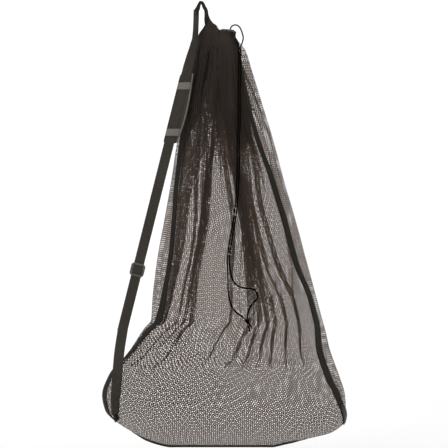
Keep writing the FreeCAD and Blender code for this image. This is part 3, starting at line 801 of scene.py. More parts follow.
def net_pieces(panel, split_v, top_name, low_name):
    pitch = PITCH
    rise = pitch * math.sqrt(3) / 2
    total_v = panel.vs[-1]
    across = panel.side == "back"
    if across:  # the back is cut with its knitting the other way
        nu, nv = int(panel.width / pitch), int(total_v / rise)
        i, j = np.meshgrid(np.arange(nv), np.arange(nu), indexing="ij")
        cu = (j + 0.25 + 0.5 * (i % 2)) * panel.width / nu
        cv = (i + 0.5) * rise
    else:
        nu, nv = int(panel.width / rise), int(total_v / pitch)
        i, j = np.meshgrid(np.arange(nv), np.arange(nu), indexing="ij")
        cu = (j + 0.5) * panel.width / nu
        cv = (i + 0.5 + 0.5 * (j % 2)) * pitch
    cu, cv = cu.ravel(), cv.ravel()
    keep = cv < np.interp(cu, panel.u, panel.v_end) + 4.0
    cu, cv = cu[keep], cv[keep]
    ang = np.radians(60 * np.arange(6) + (30 if across else 0))
    ro = pitch / math.sqrt(3)
    made = []
    for name, sel in ((top_name, cv < split_v), (low_name, cv >= split_v)):
        u0, v0 = cu[sel], cv[sel]
        ou = u0[:, None] + ro * np.cos(ang)
        ov = v0[:, None] + ro * np.sin(ang)
        step = (pitch / 4, rise / 6) if across else (rise / 6, pitch / 4)
        key = np.round(np.stack([ou.ravel() / step[0], ov.ravel() / step[1]], -1)).astype(np.int64)
        _, first, back = np.unique(key, axis=0, return_index=True, return_inverse=True)
        back = back.reshape(-1)
        uo, vo = ou.ravel()[first], ov.ravel()[first]
        iu_ = (u0[:, None] + ro * HOLE * np.cos(ang)).ravel()
        iv_ = (v0[:, None] + ro * HOLE * np.sin(ang)).ravel()
        # the knitting wanders a little
        drift_u = lambda u, v: u + 0.9 * np.sin(v / 37.0 + 1.3 * np.sin(u / 53.0)) + 0.35 * np.sin(u / 11.0 + v / 17.0)
        bow = (2.2, 12.5, 0.4) if across else (2.4, 14.5, 1.7)
        drift_v = lambda u, v: v + bow[0] * np.sin(u / bow[1] + bow[2]) + 1.0 * np.sin(u / 41.0 + 1.1 * np.sin(v / 61.0)) + 0.35 * np.sin(v / 13.0 - u / 19.0)
        uo, vo = drift_u(uo, vo), drift_v(uo, vo)
        iu_, iv_ = drift_u(iu_, iv_), drift_v(iu_, iv_)
        outer = panel.at(np.clip(uo, 0, panel.width), vo, panel.table)
        n_o = panel.at(np.clip(uo, 0, panel.width), vo, panel.normal)
        inner = panel.at(np.clip(iu_, 0, panel.width), iv_, panel.table)
        n_i = panel.at(np.clip(iu_, 0, panel.width), iv_, panel.normal)
        verts = np.vstack([outer + 0.12 * n_o, inner - 0.12 * n_i])
        o_idx = back.reshape(-1, 6)
        i_idx = len(outer) + np.arange(len(u0) * 6).reshape(-1, 6)
        k1 = (np.arange(6) + 1) % 6
        quads = np.stack([o_idx, o_idx[:, k1], i_idx[:, k1], i_idx], -1).reshape(-1, 4)
        p = verts[quads]
        size = np.linalg.norm(np.cross(p[:, 2] - p[:, 0], p[:, 3] - p[:, 1]), axis=1)
        quads = quads[size > 0.02]
        used = np.zeros(len(verts), bool)
        used[quads.ravel()] = True
        index = np.cumsum(used) - 1
        o = mesh_piece(name, verts[used], index[quads], None, True)
        finish_piece(o, NET, "bag", "mesh", panel.side + "_mesh_panel")
        made.append(o)
    return made


front = Panel("front", 590.0, "front", (4.0, 4.0))
back = Panel("back", 672.0, "back", (24.0, 12.0))
Z0 = -657.0


def front_fold(x_px, share, lean, end, fade=110.0, drift=0.0):
    """A fold of the front named by where it lies across at the level Z0."""
    x = (x_px - 200.8) * 2.22
    s0, ls, lx = seam_s(Z0, "left"), loop_at(Z0)[0], loop_at(Z0)[1]
    part = (TH > 0) & (TH < math.pi)
    return Fold(float(np.interp(x, lx[part], ls[part])) - s0, share, lean, end, fade, drift)


front.folds = [
    front_fold(170.0, 0.6, 1, -800, 230, -2),
    front_fold(182.0, 1.0, -1, -800, 240, 12),
    front_fold(188.5, 1.7, -1, -780, 260, 22),
    front_fold(194.0, 2.8, 1, -800, 300, 27),
    front_fold(201.0, 1.6, 1, -560, 190, 27),
    front_fold(212.0, 1.3, -1, -420, 180, 27),
    front_fold(221.0, 1.0, -1, -460, 170, 27),
    front_fold(231.0, 1.2, 1, -800, 250, 27),
    front_fold(251.0, 2.8, 1, -800, 280, 15),
    front_fold(257.5, 2.4, -1, -800, 280, 12),
    front_fold(264.5, 1.8, 1, -800, 270, 9),
    front_fold(270.5, 2.0, -1, -800, 260, 7),
    front_fold(281.0, 1.4, 1, -800, 240, 4),
    front_fold(293.0, 1.8, -1, -800, 240, 0),
    front_fold(301.0, 1.8, -1, -470, 180, 0),
]


def back_fold(x_px, share, lean, end, fade=140.0):
    """A fold of the back named in the same way."""
    x = (x_px - 200.8) * 2.22
    ls, lx = loop_at(Z0)[0], loop_at(Z0)[1]
    part = TH > math.pi
    return Fold(float(np.interp(-x, -lx[part], ls[part])) - seam_s(Z0, "right"), share, lean, end, fade)


back.folds = [
    back_fold(311.0, 1.5, 1, -700, 260),
    back_fold(302.0, 1.6, 1, -800, 240),
    back_fold(295.0, 1.8, -1, -800, 240),
    back_fold(277.0, 0.9, 1, -440),
    back_fold(261.0, 2.0, -1, -800, 240),
    back_fold(254.0, 2.2, 1, -800, 250),
    back_fold(246.5, 2.2, -1, -800, 240),
    back_fold(238.0, 1.6, 1, -800, 240),
    back_fold(220.0, 1.4, 1, -480, 200),
    back_fold(211.0, 1.3, -1, -500, 220),
    back_fold(203.0, 2.2, -1, -800, 260),
    back_fold(196.5, 2.6, 1, -800, 250),
    back_fold(189.5, 2.0, 1, -800, 240),
    back_fold(178.0, 0.6, -1, -460),
    back_fold(163.0, 2.6, -1, -800, 240),
    back_fold(157.0, 2.2, 1, -800, 230),
    back_fold(151.5, 2.0, 1, -800, 240),
]
for panel in (front, back):
    panel.place(Z0)
    panel.build()

split_f = 0.5 * front.vs[-1]
split_b = 0.5 * back.vs[-1]
net_ft, net_fl = net_pieces(front, split_f, "net_front_upper", "net_front_lower")
net_bt, net_bl = net_pieces(back, split_b, "net_back_upper", "net_back_lower")


def area_of(o):
    co = np.empty(len(o.data.vertices) * 3, np.float32)
    o.data.vertices.foreach_get("co", co)
    co = co.reshape(-1, 3)
    ix = np.empty(len(o.data.loops), np.int32)
    o.data.loops.foreach_get("vertex_index", ix)
    q = co[ix.reshape(-1, 4)]
    return float(np.linalg.norm(np.cross(q[:, 2] - q[:, 0], q[:, 3] - q[:, 1]), axis=1).sum() / 2)


for o, panel, length in (
    (net_ft, front, split_f),
    (net_fl, front, front.vs[-1] - split_f),
    (net_bt, back, split_b),
    (net_bl, back, back.vs[-1] - split_b),
):
    w, l = panel.width * MM, length * MM


# ---------------------------------------------------------------- seam tapes
def seam_ribbon(name, side, keys, z_from, z_to, lift=1.3, thick=0.9, slide=0.0):
    """Tape over a side seam, lying on the net: keys are (level, width)."""
    zs = np.arange(z_from, z_to - 0.1, -6.0)
    kz, kw = np.array([k[0] for k in keys]), np.array([k[1] for k in keys])
    rings = []
    for z in zs:
        w = float(np.interp(-z, -kz, kw))
        s0 = seam_s(z, side) + slide
        a = np.linspace(-1, 1, 9)
        outer = on_loop(z, s0 + a * w / 2, -(lift + thick * np.sqrt(np.clip(1 - a**8, 0.04, 1))))
        inner = on_loop(z, s0 + a[::-1] * w / 2, -lift)
        rings.append(np.vstack([outer, inner]))
    return loft(name, rings)


tape_l = seam_ribbon(
    "seam_tape_left",
    "left",
    [(-80, 8), (-110, 11), (-150, 15), (-260, 15), (-420, 13), (-560, 11), (-640, 14), (-700, 22), (-735, 20), (-800, 21), (-868, 26), (-905, 26), (-926, 14)],
    -80.0,
    -926.0,
)
finish_piece(tape_l, TAPE, "bag", "seam_tape", "left_seam_tape")
tape_r = seam_ribbon(
    "seam_tape_right",
    "right",
    [(-80, 5), (-140, 6), (-250, 9), (-400, 15), (-500, 16), (-600, 17), (-680, 20), (-760, 20), (-840, 22), (-890, 20), (-930, 9)],
    -80.0,
    -932.0,
)
finish_piece(tape_r, TAPE, "bag", "seam_tape", "right_seam_tape")


# ---------------------------------------------------------------- bottom seam
def outline(z_from, z_to, side):
    zs = np.arange(z_from, z_to, -1.5 if z_to < z_from else 1.5)
    return np.array([[level_at(z)[0 if side == "left" else 1], 0.0, z] for z in zs])


left_part = outline(-949.0, -979.5, "left")
right_part = outline(-949.0, -979.5, "right")[::-1]
middle = np.stack([np.linspace(-78, 166, 90), np.zeros(90), np.full(90, -980.6)], -1)
bottom = np.vstack([left_part, middle, right_part[right_part[:, 0] < 262]])
bottom = smooth_path(bottom[::6], 3.0)
bottom[:, 2] -= 0.8
seam_y = 2.2 + 0 * bottom[:, 0]
a = np.linspace(0, 2 * math.pi, 12, endpoint=False)
t = unit(np.gradient(bottom, axis=0))
down = unit(np.stack([t[:, 2], 0 * t[:, 0], -t[:, 0]], -1))
ends_fade = np.clip(np.minimum(np.arange(len(bottom)), np.arange(len(bottom))[::-1]) / 10.0, 0.25, 1)
rings = bottom[:, None, :] + (
    down[:, None, :] * (2.6 * np.cos(a))[None, :, None] + np.array([0, 1.0, 0])[None, None, :] * (2.3 * np.sin(a))[None, :, None]
) * ends_fade[:, None, None]
binding = loft("bottom_seam", rings)
finish_piece(binding, TAPE, "bag", "edge_binding", "bottom_seam_binding")

# ---------------------------------------------------------------- gathered collar, with a dark sheet of painted shade hanging inside it
N_A, N_T = 288, 22
al = np.linspace(0, 2 * math.pi, N_A, endpoint=False)
ridge = np.zeros(N_A)
for k, amp in ((17, 0.5), (23, 0.6), (31, 0.45), (41, 0.3)):
    ridge += amp * np.sin(k * al + rng.uniform(0, 6.28))
out_al = np.stack([-np.cos(al), -np.sin(al), 0 * al], -1)
rows = []
# the hem cloth goes on down inside the gathers as a dark sheet with an uneven lower edge: painted shade for the dark
# inside of the gathered neck
SHADE_SHEET_Z = np.arange(Z_COLLAR, -345.0, -6.0)
inner = []
for z in SHADE_SHEET_Z:
    xl_, xr_ = level_at(z)[:2]
    in_left = 6.0
    in_right = 6.0 + 0.62 * (xr_ - float(np.interp(seam_s(z, "right"), loop_at(z)[0], loop_at(z)[1])))
    cx_, a_x = (xl_ + in_left + xr_ - in_right) / 2, (xr_ - in_right - xl_ - in_left) / 2
    inner.append(np.stack([cx_ - a_x * np.cos(al), -(level_at(z)[2] - (1.9 + 4.6 * ((Z_COLLAR - z) / 245) ** 1.2)) * np.sin(al), z + 0 * al], -1))
inner = np.array(inner)
across_px = 200.8 + inner[0][:, 0] / 2.22
reach_px = np.array([190.0, 194.0, 198.0, 201.0, 204.0, 207.0, 210.0, 214.0, 218.0, 222.0, 225.0, 228.0, 232.0, 236.0, 240.0, 246.0])
reach_z = np.array([-150.0, -200.0, -290.0, -330.0, -280.0, -250.0, -200.0, -180.0, -230.0, -330.0, -285.0, -330.0, -300.0, -240.0, -200.0, -130.0])
shade_sheet_low_z = np.interp(across_px, reach_px, reach_z)
shade_sheet_low_z = np.where(np.sin(al) < -0.05, -190.0 + 45.0 * np.sin(5 * al + 0.6) + 25.0 * np.sin(11 * al + 2.0), shade_sheet_low_z)
shade_sheet_low_z = np.clip(shade_sheet_low_z, SHADE_SHEET_Z[-1] + 1, -104.0)
N_SHADE = 18
for k in range(N_SHADE):
    g = 1 - k / N_SHADE
    zz = Z_COLLAR + (shade_sheet_low_z - Z_COLLAR) * g
    at_row = (Z_COLLAR - zz) / 6.0
    i0 = np.clip(at_row.astype(int), 0, len(SHADE_SHEET_Z) - 2)
    fr = (at_row - i0)[:, None]
    cols = np.arange(N_A)
    rows.append(inner[i0, cols] * (1 - fr) + inner[i0 + 1, cols] * fr + out_al * (0.8 * ridge)[:, None])
for k in range(N_T):
    t = k / (N_T - 1)
    ring = collar_point(al, t, 1.5 - 0.7 * t) + out_al * ((0.7 + 0.5 * t) * ridge)[:, None]
    ring[:, 0] -= 6.0 * (1 - min(t / 0.5, 1.0)) * np.clip(-np.cos(al), 0, 1) ** 2
    rows.append(ring)
for k in range(1, 10):
    t = k / 9
    last = rows[N_T + N_SHADE - 1]
    shrink = 1 - 0.45 * t
    x = 42.3 + (last[:, 0] - 42.3) * shrink
    rows.append(np.stack([x, last[:, 1] * shrink, last[:, 2] * (1 - t) + (-78.0) * t], -1))
# one sheet: first the dark sheet of painted shade inside the neck, then the collar, then its top closed in
collar = grid_sheet("gathered_collar_and_shade_sheet", rows, closed=True)
solid = collar.modifiers.new("thickness", "SOLIDIFY")
solid.thickness = 0.0007
solid.offset = -1
finish_piece(collar, HEM_AND_SHADE, "bag", "edge_binding", "drawcord_casing")

# the mouth's bound edge, on the right, in a light grey that is painted sheen along the hem's folded upper edge
edge_al = np.linspace(math.radians(-104), math.radians(104), 110)
rim = []
for k in range(len(edge_al)):
    c, s_ = math.cos(edge_al[k]), math.sin(edge_al[k])
    x = 42.3 + 34.8 * c
    zt = float(np.interp(x, TOP_X, TOP_Z))
    rim.append((x, -11.8 * s_, zt))
rim = np.array(rim)
rip = 0.9 * np.sin(np.linspace(0, 60, len(rim))) + 0.5 * np.sin(np.linspace(1, 97, len(rim)))
out_dir = unit(np.stack([rim[:, 0] - 42.3, rim[:, 1] * 3.0, 0 * rim[:, 0]], -1))
rim = rim + out_dir * rip[:, None]
prof = np.array([(0.0, 1.2), (0.7, 1.0), (1.0, 0.0), (1.0, -3.4), (0.2, -3.6), (-0.4, -3.0), (-0.6, 0.4)])
rings = rim[:, None, :] + out_dir[:, None, :] * prof[None, :, 0, None] + np.array([0, 0, 1.0])[None, None, :] * prof[None, :, 1, None]
rim_piece = loft("mouth_binding", rings)
finish_piece(rim_piece, EDGE_SHEEN, "bag", "edge_binding", "mouth_edge_binding")

# ---------------------------------------------------------------- strap
TOP = np.array([-16.2, -31.0, -97.7])
END = np.array([-171.6, -57.0, -723.7])
D = unit(END - TOP)
W = unit(np.array([1.0, 0, 0]) - D * D[0])
N = np.cross(D, W)
if N[1] > 0:
    N = -N
STRAIGHT = float(np.linalg.norm(END - TOP))
WEB_W, WEB_T = 22.0, 1.4
BACKSET = -(WEB_T + 0.3)
PAD_START, PAD_L, SLIDER_AT = 62.0, 155.0, 506.5


def local(u, v, n):
    u, v, n = np.broadcast_arrays(np.asarray(u, float), np.asarray(v, float), np.asarray(n, float))
    return TOP + u[..., None] * W + v[..., None] * D + n[..., None] * N


LOWER = np.array([END, (-177.0, -67.0, -768.0), (-180.5, -74.0, -812.0), (-183.5, -70.0, -850.0), (-185.8, -60.0, -882.0), (-186.0, -50.0, -904.0)])
upper_keys = np.array([(-10.0, -3.5, -16.0), (-10.2, -6.5, -30.0), (-10.6, -11.0, -46.0), (-11.6, -19.0, -70.0), (-13.4, -26.0, -88.0)])
head = smooth_path(np.vstack([upper_keys, TOP, local(0, 14, 0), local(0, 28, 0)]), 2.0)
vv = np.arange(30.0, STRAIGHT - 12.0, 4.0)
body_line = local(0 * vv, vv, 0 * vv)
tail_line = smooth_path(np.vstack([local(0, STRAIGHT - 10, 0), LOWER[1:]]), 3.0)
main_path = np.vstack([head, body_line, tail_line])
turn_keys_z = np.array([-16.0, -30.0, -46.0, -70.0, -90.0, -104.0, -116.0, -130.0, -146.0, -165.0, -800.0, -840.0, -880.0, -915.0])
turn_keys = np.radians([58.0, 58.0, 59.0, 58.0, 54.0, 44.0, 34.0, 24.0, 10.0, 0.0, 0.0, 14.0, 40.0, 52.0])
turn = np.interp(-main_path[:, 2], -turn_keys_z, turn_keys)
across = np.stack([np.cos(turn), np.sin(turn) * np.where(main_path[:, 2] > -400, 1.0, 1.0), 0 * turn], -1)
low = main_path[:, 2] < -400
strap = ribbon("strap_main", main_path, across, WEB_W, WEB_T, ribs=5)
finish_piece(strap, WEB, "bag", "webbing", "strap_main_webbing")

# the second layer below the slider: its straight stretch runs from the slider down
v2 = np.arange(SLIDER_AT - 2.0, STRAIGHT + 0.1, 3.0)
ret_path = local(0 * v2, v2, 0 * v2 + BACKSET)
ret_a = ribbon("strap_return_straight", ret_path, np.tile(W, (len(v2), 1)), WEB_W, WEB_T, ribs=5)
finish_piece(ret_a, WEB, "bag", "webbing", "strap_return_webbing")
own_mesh(ret_a)
low_path = tail_line.copy()
t = unit(np.gradient(low_path, axis=0))
low_turn = np.interp(-low_path[:, 2], -turn_keys_z, turn_keys)
w = np.stack([np.cos(low_turn), np.sin(low_turn), 0 * low_turn], -1)
w = unit(w - t * (w * t).sum(1, keepdims=True))
nn = np.cross(t, w)
nn = nn * np.where(nn[:, 1:2] > 0, -1, 1)
low_path = low_path + nn * BACKSET
ret_b = ribbon("strap_return_lower", low_path, np.stack([np.cos(low_turn), np.sin(low_turn), 0 * low_turn], -1), WEB_W, WEB_T, ribs=5)
finish_piece(ret_b, WEB, "bag", "webbing")

# the strap's top: folded narrow over the peg, then sewn into the collar
LOOP_KEYS = np.array(
    [(-10.0, -4.0, -25.0), (-9.6, -3.6, -17.0), (-6.2, -2.2, -9.0), (-3.6, -0.8, -1.5), (-0.6, 0.0, 3.7), (3.4, 0.0, 2.2), (7.6, 0.0, -7.0), (11.4, 0.0, -14.0), (12.6, 0.0, -24.0), (14.6, 0.0, -36.0), (20.0, 0.0, -50.0)]
)
loop_path = smooth_path(LOOP_KEYS, 1.2)
wk = np.array([10.5, 11.5, 9.5, 7.4, 6.8, 7.0, 8.0, 8.2, 9.0, 14.0, 22.0])
hk = np.array([3.2, 4.0, 4.6, 4.6, 4.4, 4.4, 5.0, 5.0, 6.0, 9.0, 12.0])
lw, lh = carried(wk, LOOP_KEYS, loop_path), carried(hk, LOOP_KEYS, loop_path)
lt = unit(np.gradient(loop_path, axis=0))
side_dir = unit(np.cross(lt, np.array([0, 1.0, 0])))
a = np.linspace(0, 2 * math.pi, 28, endpoint=False)
sq_c = np.sign(np.cos(a)) * np.abs(np.cos(a)) ** 0.75
sq_s = np.sign(np.sin(a)) * np.abs(np.sin(a)) ** 0.75
fold_line = 1 - 0.16 * np.exp(-(((a - math.pi * 0.42) / 0.16) ** 2)) - 0.16 * np.exp(-(((a - math.pi * 1.58) / 0.16) ** 2))
spin = np.linspace(0, 1.2, len(loop_path))[:, None]
rings = loop_path[:, None, :] + side_dir[:, None, :] * (lw[:, None] / 2 * sq_c * fold_line)[:, :, None] + np.array([0, 1.0, 0]) * (
    lh[:, None] / 2 * sq_s * fold_line
)[:, :, None]
loop_piece = loft("strap_top_fold", rings)
finish_piece(loop_piece, TAPE, "bag", "webbing", "strap_top_loop", "strap_collar_anchor")

# ---------------------------------------------------------------- corner patches
corner_r = seam_ribbon("corner_patch_right", "right", [(-886, 10), (-896, 16), (-920, 16), (-934, 7)], -886.0, -936.0, 2.4, 1.8, 4.0)
finish_piece(corner_r, LEATHER, "bag", "corner_patch", "right_corner_tab")
corner_keys = np.array([(-186.2, -51.0, -898.0), (-186.0, -45.0, -907.0), (-185.0, -39.0, -915.0), (-183.6, -35.0, -921.0)])
cp = smooth_path(corner_keys, 1.5)
corner_l = ribbon("corner_patch_left", cp, (0.62, 0.78, 0.0), 15.0, 2.6, edge=0.4)
finish_piece(corner_l, LEATHER, "bag", "corner_patch", "left_corner_tab")

# ---------------------------------------------------------------- shoulder pad
PAD_W, PAD_T, PAD_U = 27.0, 6.5, 2.5
FACE = -(WEB_T / 2 + 0.3)


SKEW = -0.27  # the pad's ends and bands lie level, although the strap slants


def padded_local(u, v, n):
    u, v = np.asarray(u, float), np.asarray(v, float)
    # the right side bows out towards the lower half
    f = np.clip((v - PAD_START) / PAD_L, 0, 1)
    bow = -3.2 * (1 - f) - 0.6 * f + 4.6 * np.sin(np.pi * f**1.1)
    grow = np.clip((u - 4.0) / (PAD_U + PAD_W / 2 - 4.0), 0, 1.2)
    return local(u + grow * bow, v + SKEW * (u - PAD_U), n)


def rounded_rect(hw, hl, r, n=9):
    pts = []
    for cx, cy, a0 in ((hw - r, hl - r, 0), (-(hw - r), hl - r, 90), (-(hw - r), -(hl - r), 180), (hw - r, -(hl - r), 270)):
        for k in range(n):
            a_ = math.radians(a0 + 90 * k / (n - 1))
            pts.append((cx + r * math.cos(a_), cy + r * math.sin(a_)))
    return np.array(pts)


outline_pad = rounded_rect(PAD_W / 2, PAD_L / 2, 4.0)
# resample evenly so that the long sides carry enough points for the crown
closed = np.vstack([outline_pad, outline_pad[:1]])
d_ = np.concatenate([[0], np.cumsum(np.linalg.norm(np.diff(closed, axis=0), axis=1))])
sv = np.linspace(0, d_[-1], 180, endpoint=False)
ring_uv = np.stack([np.interp(sv, d_, closed[:, 0]), np.interp(sv, d_, closed[:, 1])], -1)
layers = []
mid_n = FACE - PAD_T / 2
for k in range(13):
    a_ = -math.pi / 2 + math.pi * k / 12
    n_ = mid_n + PAD_T / 2 * math.sin(a_) * (1.0 if a_ < 0 else 0.98)
    shrink = 1.6 * (1 - math.cos(a_)) ** 1.0
    scale_w, scale_l = (PAD_W / 2 - shrink) / (PAD_W / 2), (PAD_L / 2 - shrink) / (PAD_L / 2)
    layers.append(padded_local(PAD_U + ring_uv[:, 0] * scale_w, PAD_START + PAD_L / 2 + ring_uv[:, 1] * scale_l, 0 * ring_uv[:, 0] + n_))
pad_piece = loft("pad_cushion", layers)
finish_piece(pad_piece, PADC, "pad", "pad", "shoulder_pad")

bind_uv = rounded_rect(PAD_W / 2 + 0.7, PAD_L / 2 + 0.7, 4.6)
closed = np.vstack([bind_uv, bind_uv[:1]])
d_ = np.concatenate([[0], np.cumsum(np.linalg.norm(np.diff(closed, axis=0), axis=1))])


def binding_arc(name, s_from, s_to, material, half_w, half_n):
    sv = np.linspace(s_from, s_to, 120)
    uv_ = np.stack([np.interp(sv % d_[-1], d_, closed[:, 0]), np.interp(sv % d_[-1], d_, closed[:, 1])], -1)
    centre = padded_local(PAD_U + uv_[:, 0], PAD_START + PAD_L / 2 + uv_[:, 1], 0 * sv + mid_n)
    t_ = unit(np.gradient(centre, axis=0))
    side_ = np.cross(t_, N)
    a_ = np.linspace(0, 2 * math.pi, 14, endpoint=False)
    r_ = centre[:, None, :] + unit(side_)[:, None, :] * (half_w * np.cos(a_))[None, :, None] + N * (half_n * np.sign(np.sin(a_)) * np.abs(np.sin(a_)) ** 0.6)[None, :, None]
    o_ = loft(name, r_)
    return finish_piece(o_, material, "pad", "pad_trim", "pad_edge_binding")


perim = d_[-1]
right_from, right_to = 0.0, 0.0
# the list starts on the right side at the lower end: right side, bottom, left side and top in turn
half_right = (PAD_L / 2) * 1.0
binding_arc("pad_binding_right", perim - PAD_L + 3.0, perim + PAD_W * 0.10, TRIM, 1.9, 3.4)
binding_arc("pad_binding_left", PAD_W * 0.10, perim - PAD_L + 3.0, TRIM_DARK, 1.5, 3.2)

# cross bands over the webbing, wrapped down on to the pad's edges
LEG = WEB_W / 2 + 0.7
for name, node, v0 in (("pad_strap_band_upper", "pad_band_upper", PAD_START + 19.0), ("pad_strap_band_lower", "pad_band_lower", PAD_START + 124.5)):
    vs_ = np.linspace(v0, v0 + 16.0, 13)
    left_u, right_u = PAD_U - PAD_W / 2 - 1.9, PAD_U + PAD_W / 2 + 1.9
    prof_u = np.array([left_u - 0.1, left_u - 0.2, left_u + 0.1, -LEG - 0.1, -8.0, 0.0, 8.0, LEG + 0.2, right_u - 1.2, right_u + 0.1, right_u + 0.2])
    prof_n = np.array([FACE - 3.0, FACE - 0.6, FACE + 0.9, 1.35, 1.75, 1.85, 1.8, 1.45, FACE + 1.3, FACE - 0.4, FACE - 3.0])
    prof_in = prof_n - 0.0
    rings = []
    for k, v_ in enumerate(vs_):
        soft = 0.12 * math.cos(2 * math.pi * (k / 12) * 3)
        outer_ = np.stack([prof_u, np.full(len(prof_u), v_), prof_n + 0.45 + soft], -1)
        inner_ = np.stack([prof_u[::-1], np.full(len(prof_u), v_), prof_n[::-1] - 0.25], -1)
        loc = np.vstack([outer_, inner_])
        rings.append(padded_local(loc[:, 0], loc[:, 1], loc[:, 2]))
    o = loft(name, rings)
    finish_piece(o, TRIM, "pad", "pad_trim", node)


def stitch_row(name, p0, p1, n, up, body, length=2.2, radius=0.28, material=None, nodes=()):
    """A row of short stitches from p0 to p1, each a small bowed thread."""
    rings_v, faces, base = [], [], 0
    p0, p1, up = np.array(p0, float), np.array(p1, float), unit(np.array(up, float))
    d = unit(p1 - p0)
    side_ = np.cross(d, up)
    for k in range(n):
        c = p0 + (p1 - p0) * ((k + 0.5) / n)
        for i in range(5):
            f = i / 4
            mid = c + d * (f - 0.5) * length + up * (radius * 0.9 * math.sin(math.pi * f) - 0.1)
            r = radius * (0.45 + 0.55 * math.sin(math.pi * f))
            for j in range(6):
                a_ = 2 * math.pi * j / 6
                rings_v.append(mid + side_ * r * math.cos(a_) + up * r * math.sin(a_))
        for i in range(4):
            for j in range(6):
                faces.append([base + i * 6 + j, base + i * 6 + (j + 1) % 6, base + (i + 1) * 6 + (j + 1) % 6, base + (i + 1) * 6 + j])
        faces.append([base + j for j in range(5, -1, -1)])
        faces.append([base + 24 + j for j in range(6)])
        base += 30
    o_ = mesh_piece(name, np.array(rings_v), faces, None, True)
    return finish_piece(o_, material or THREAD, body, "thread", *nodes)


rows_done = 0
for tag, v0 in (("upper", PAD_START + 19.0), ("lower", PAD_START + 124.5)):
    for lr, u_ in (("left", -11.4), ("right", 14.4)):
        hgt = 1.8 if lr == "left" else 1.5
        stitch_row(
            f"bar_tack_{tag}_{lr}", padded_local(u_, v0 + 1.5, hgt), padded_local(u_, v0 + 14.5, hgt), 6, N, "pad", 1.9, 0.3, None, ("pad_bar_tacks",) if rows_done == 0 else ()
        )
        rows_done += 1

# ---------------------------------------------------------------- slider
def bar(name, pts, half_w, half_n, points=16):
    """A moulded bar: rounded section swept along points given in the strap's own directions."""
    pts = np.asarray(pts, float)
    centre = local(pts[:, 0], pts[:, 1], pts[:, 2])
    t_ = unit(np.gradient(centre, axis=0))
    nn_ = np.tile(N, (len(centre), 1))
    nn_ = unit(nn_ - t_ * (nn_ * t_).sum(1, keepdims=True))
    side_ = np.cross(t_, nn_)
    a_ = np.linspace(0, 2 * math.pi, points, endpoint=False)
    c_, s_ = np.sign(np.cos(a_)) * np.abs(np.cos(a_)) ** 0.7, np.sign(np.sin(a_)) * np.abs(np.sin(a_)) ** 0.7
    return centre[:, None, :] + side_[:, None, :] * (half_w * c_)[None, :, None] + nn_[:, None, :] * (half_n * s_)[None, :, None]


S = SLIDER_AT
HW, HL = 13.4, 12.4
corner = rounded_rect(HW, HL, 5.0, 8)
closed_c = np.vstack([corner, corner[:1]])
dd = np.concatenate([[0], np.cumsum(np.linalg.norm(np.diff(closed_c, axis=0), axis=1))])
sv = np.linspace(0, dd[-1], 97)[:-1]
cu_, cv_ = np.interp(sv, dd, closed_c[:, 0]), np.interp(sv, dd, closed_c[:, 1])
rise_ = np.where(np.abs(cv_) > HL - 3.2, 2.45, 0.2)
k_ = np.ones(7) / 7
rise_ = np.convolve(np.concatenate([rise_[-3:], rise_, rise_[:3]]), k_, "valid")
pts_ = np.stack([cu_, S + cv_, rise_], -1)
closed_pts = np.vstack([pts_, pts_[:1]])
frame_rings = bar("x", closed_pts, 2.3, 1.35)
# close the frame on itself
n_r, m_r, _ = frame_rings.shape
verts = frame_rings[:-1].reshape(-1, 3)
faces = []
for i in range(n_r - 1):
    for j in range(m_r):
        faces.append([i * m_r + j, i * m_r + (j + 1) % m_r, ((i + 1) % (n_r - 1)) * m_r + (j + 1) % m_r, ((i + 1) % (n_r - 1)) * m_r + j])
slider_frame = mesh_piece("slider_frame", verts, faces, None, True)
finish_piece(slider_frame, PLASTIC, "slider", "slider_plastic", "strap_slider")
u_ = np.linspace(-HW, HW, 25)
mid_bar = loft("slider_middle_bar", bar("y", np.stack([u_, np.full(25, S), -0.2 - 3.9 * np.clip(1 - (np.abs(u_) / HW) ** 6, 0, 1)], -1), 2.4, 1.1))
finish_piece(mid_bar, PLASTIC, "slider", "slider_plastic")

# ---------------------------------------------------------------- knot
def knot_path(n=150):
    t_ = np.linspace(0, 2 * math.pi, n, endpoint=False)
    x = np.sin(t_) + 2 * np.sin(2 * t_)
    y = np.cos(t_) - 2 * np.cos(2 * t_)
    z = -np.sin(3 * t_)
    return np.stack([x, y, z], -1)


kp = knot_path()
kp = np.vstack([kp, kp[:1]])
kp = kp * np.array([1.25, 1.15, 1.5])
kp3 = KNOT + np.stack([kp[:, 0], kp[:, 2], kp[:, 1]], -1)
t_ = unit(np.gradient(kp3, axis=0))
w_ = unit(np.cross(t_, np.array([0.3, 1.0, 0.2])))
b_ = np.cross(w_, t_)
a_ = np.linspace(0, 2 * math.pi, 12, endpoint=False)
r_ = kp3[:, None, :] + 2.0 * (w_[:, None, :] * np.cos(a_)[None, :, None] + b_[:, None, :] * np.sin(a_)[None, :, None])
knot_piece = loft("cord_knot", r_, caps=True)
finish_piece(knot_piece, CORD, "hanging_drawcord", "cord", "drawcord_knot")
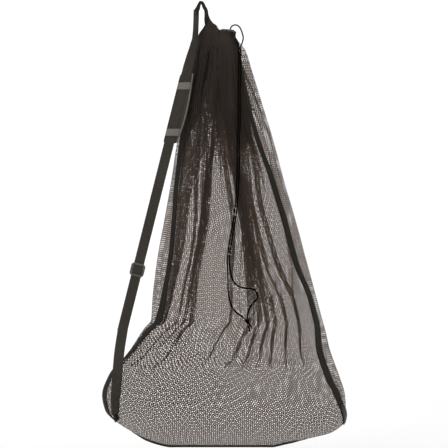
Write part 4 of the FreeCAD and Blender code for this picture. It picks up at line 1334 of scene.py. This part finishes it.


# ---------------------------------------------------------------- cord lengths
def nurbs_length(points):
    """Length of the open quadratic line that the points control."""
    p = np.asarray(points, float)
    n = len(p)
    kn = np.concatenate([[0, 0, 0], np.arange(1, n - 2), [n - 2] * 3]).astype(float)
    total, last = 0.0, None
    for t in np.linspace(0, n - 2 - 1e-9, 40 * n):
        k = min(int(t), n - 3) + 2
        d = [p[k - 2 + i] for i in range(3)]
        for r in range(1, 3):
            for j in range(2, r - 1, -1):
                i = k - 2 + j
                a = (t - kn[i]) / (kn[i + 3 - r] - kn[i])
                d[j] = (1 - a) * d[j - 1] + a * d[j]
        if last is not None:
            total += float(np.linalg.norm(d[2] - last))
        last = d[2]
    return total


def m(p):
    return tuple(float(c) * MM for c in p)


nurbs_length(TOP_LOOP) * MM
nurbs_length(LEFT) * MM
nurbs_length(RIGHT) * MM

# ---------------------------------------------------------------- floor, backdrop and light
back_m, nt, bsdf = node_material("backdrop_white")
noise = nt.nodes.new("ShaderNodeTexNoise")
noise.inputs["Scale"].default_value = 3
link_colour(nt, bsdf, noise.outputs[0], (0.93, 0.93, 0.93), (0.95, 0.95, 0.95))
bsdf.inputs["Roughness"].default_value = 0.9
ys = [-4.5, -2.0, 0.0, 1.0]
zs = [-1.03] * 4
for k in range(1, 17):
    a_ = math.pi / 2 * k / 16
    ys.append(1.0 + 0.9 * math.sin(a_))
    zs.append(-1.03 + 0.9 * (1 - math.cos(a_)))
ys.append(1.9)
zs.append(2.6)
xs = np.linspace(-3.2, 3.2, 9)
pts = np.array([[[x * 1000, y * 1000, z * 1000] for x in xs] for y, z in zip(ys, zs)])
sweep_ = grid_sheet("backdrop", pts)
sweep_.data.materials.append(back_m)

world = bpy.data.worlds.new("world")
scene.world = world
world.use_nodes = True
bg = world.node_tree.nodes["Background"]
bg.inputs[0].default_value = (1.0, 1.0, 1.0, 1)
bg.inputs[1].default_value = 0.62


def area(name, loc, aim, size, power, colour=(1, 1, 1)):
    l_ = bpy.data.lights.new(name, "AREA")
    l_.shape = "RECTANGLE"
    l_.size, l_.size_y = size
    l_.energy = power
    l_.color = colour
    o_ = add(name, l_)
    o_.location = loc
    o_.rotation_euler = (Vector(aim) - Vector(loc)).to_track_quat("-Z", "Y").to_euler()
    return o_


area("key", (-1.6, -2.6, 0.9), (0.05, 0, -0.5), (1.2, 1.2), 15)
area("fill", (1.9, -2.4, 0.2), (0.05, 0, -0.5), (1.2, 1.2), 7)
area("back_wash", (0.0, 0.2, 1.6), (0.0, 1.9, -0.6), (2.6, 0.8), 30)
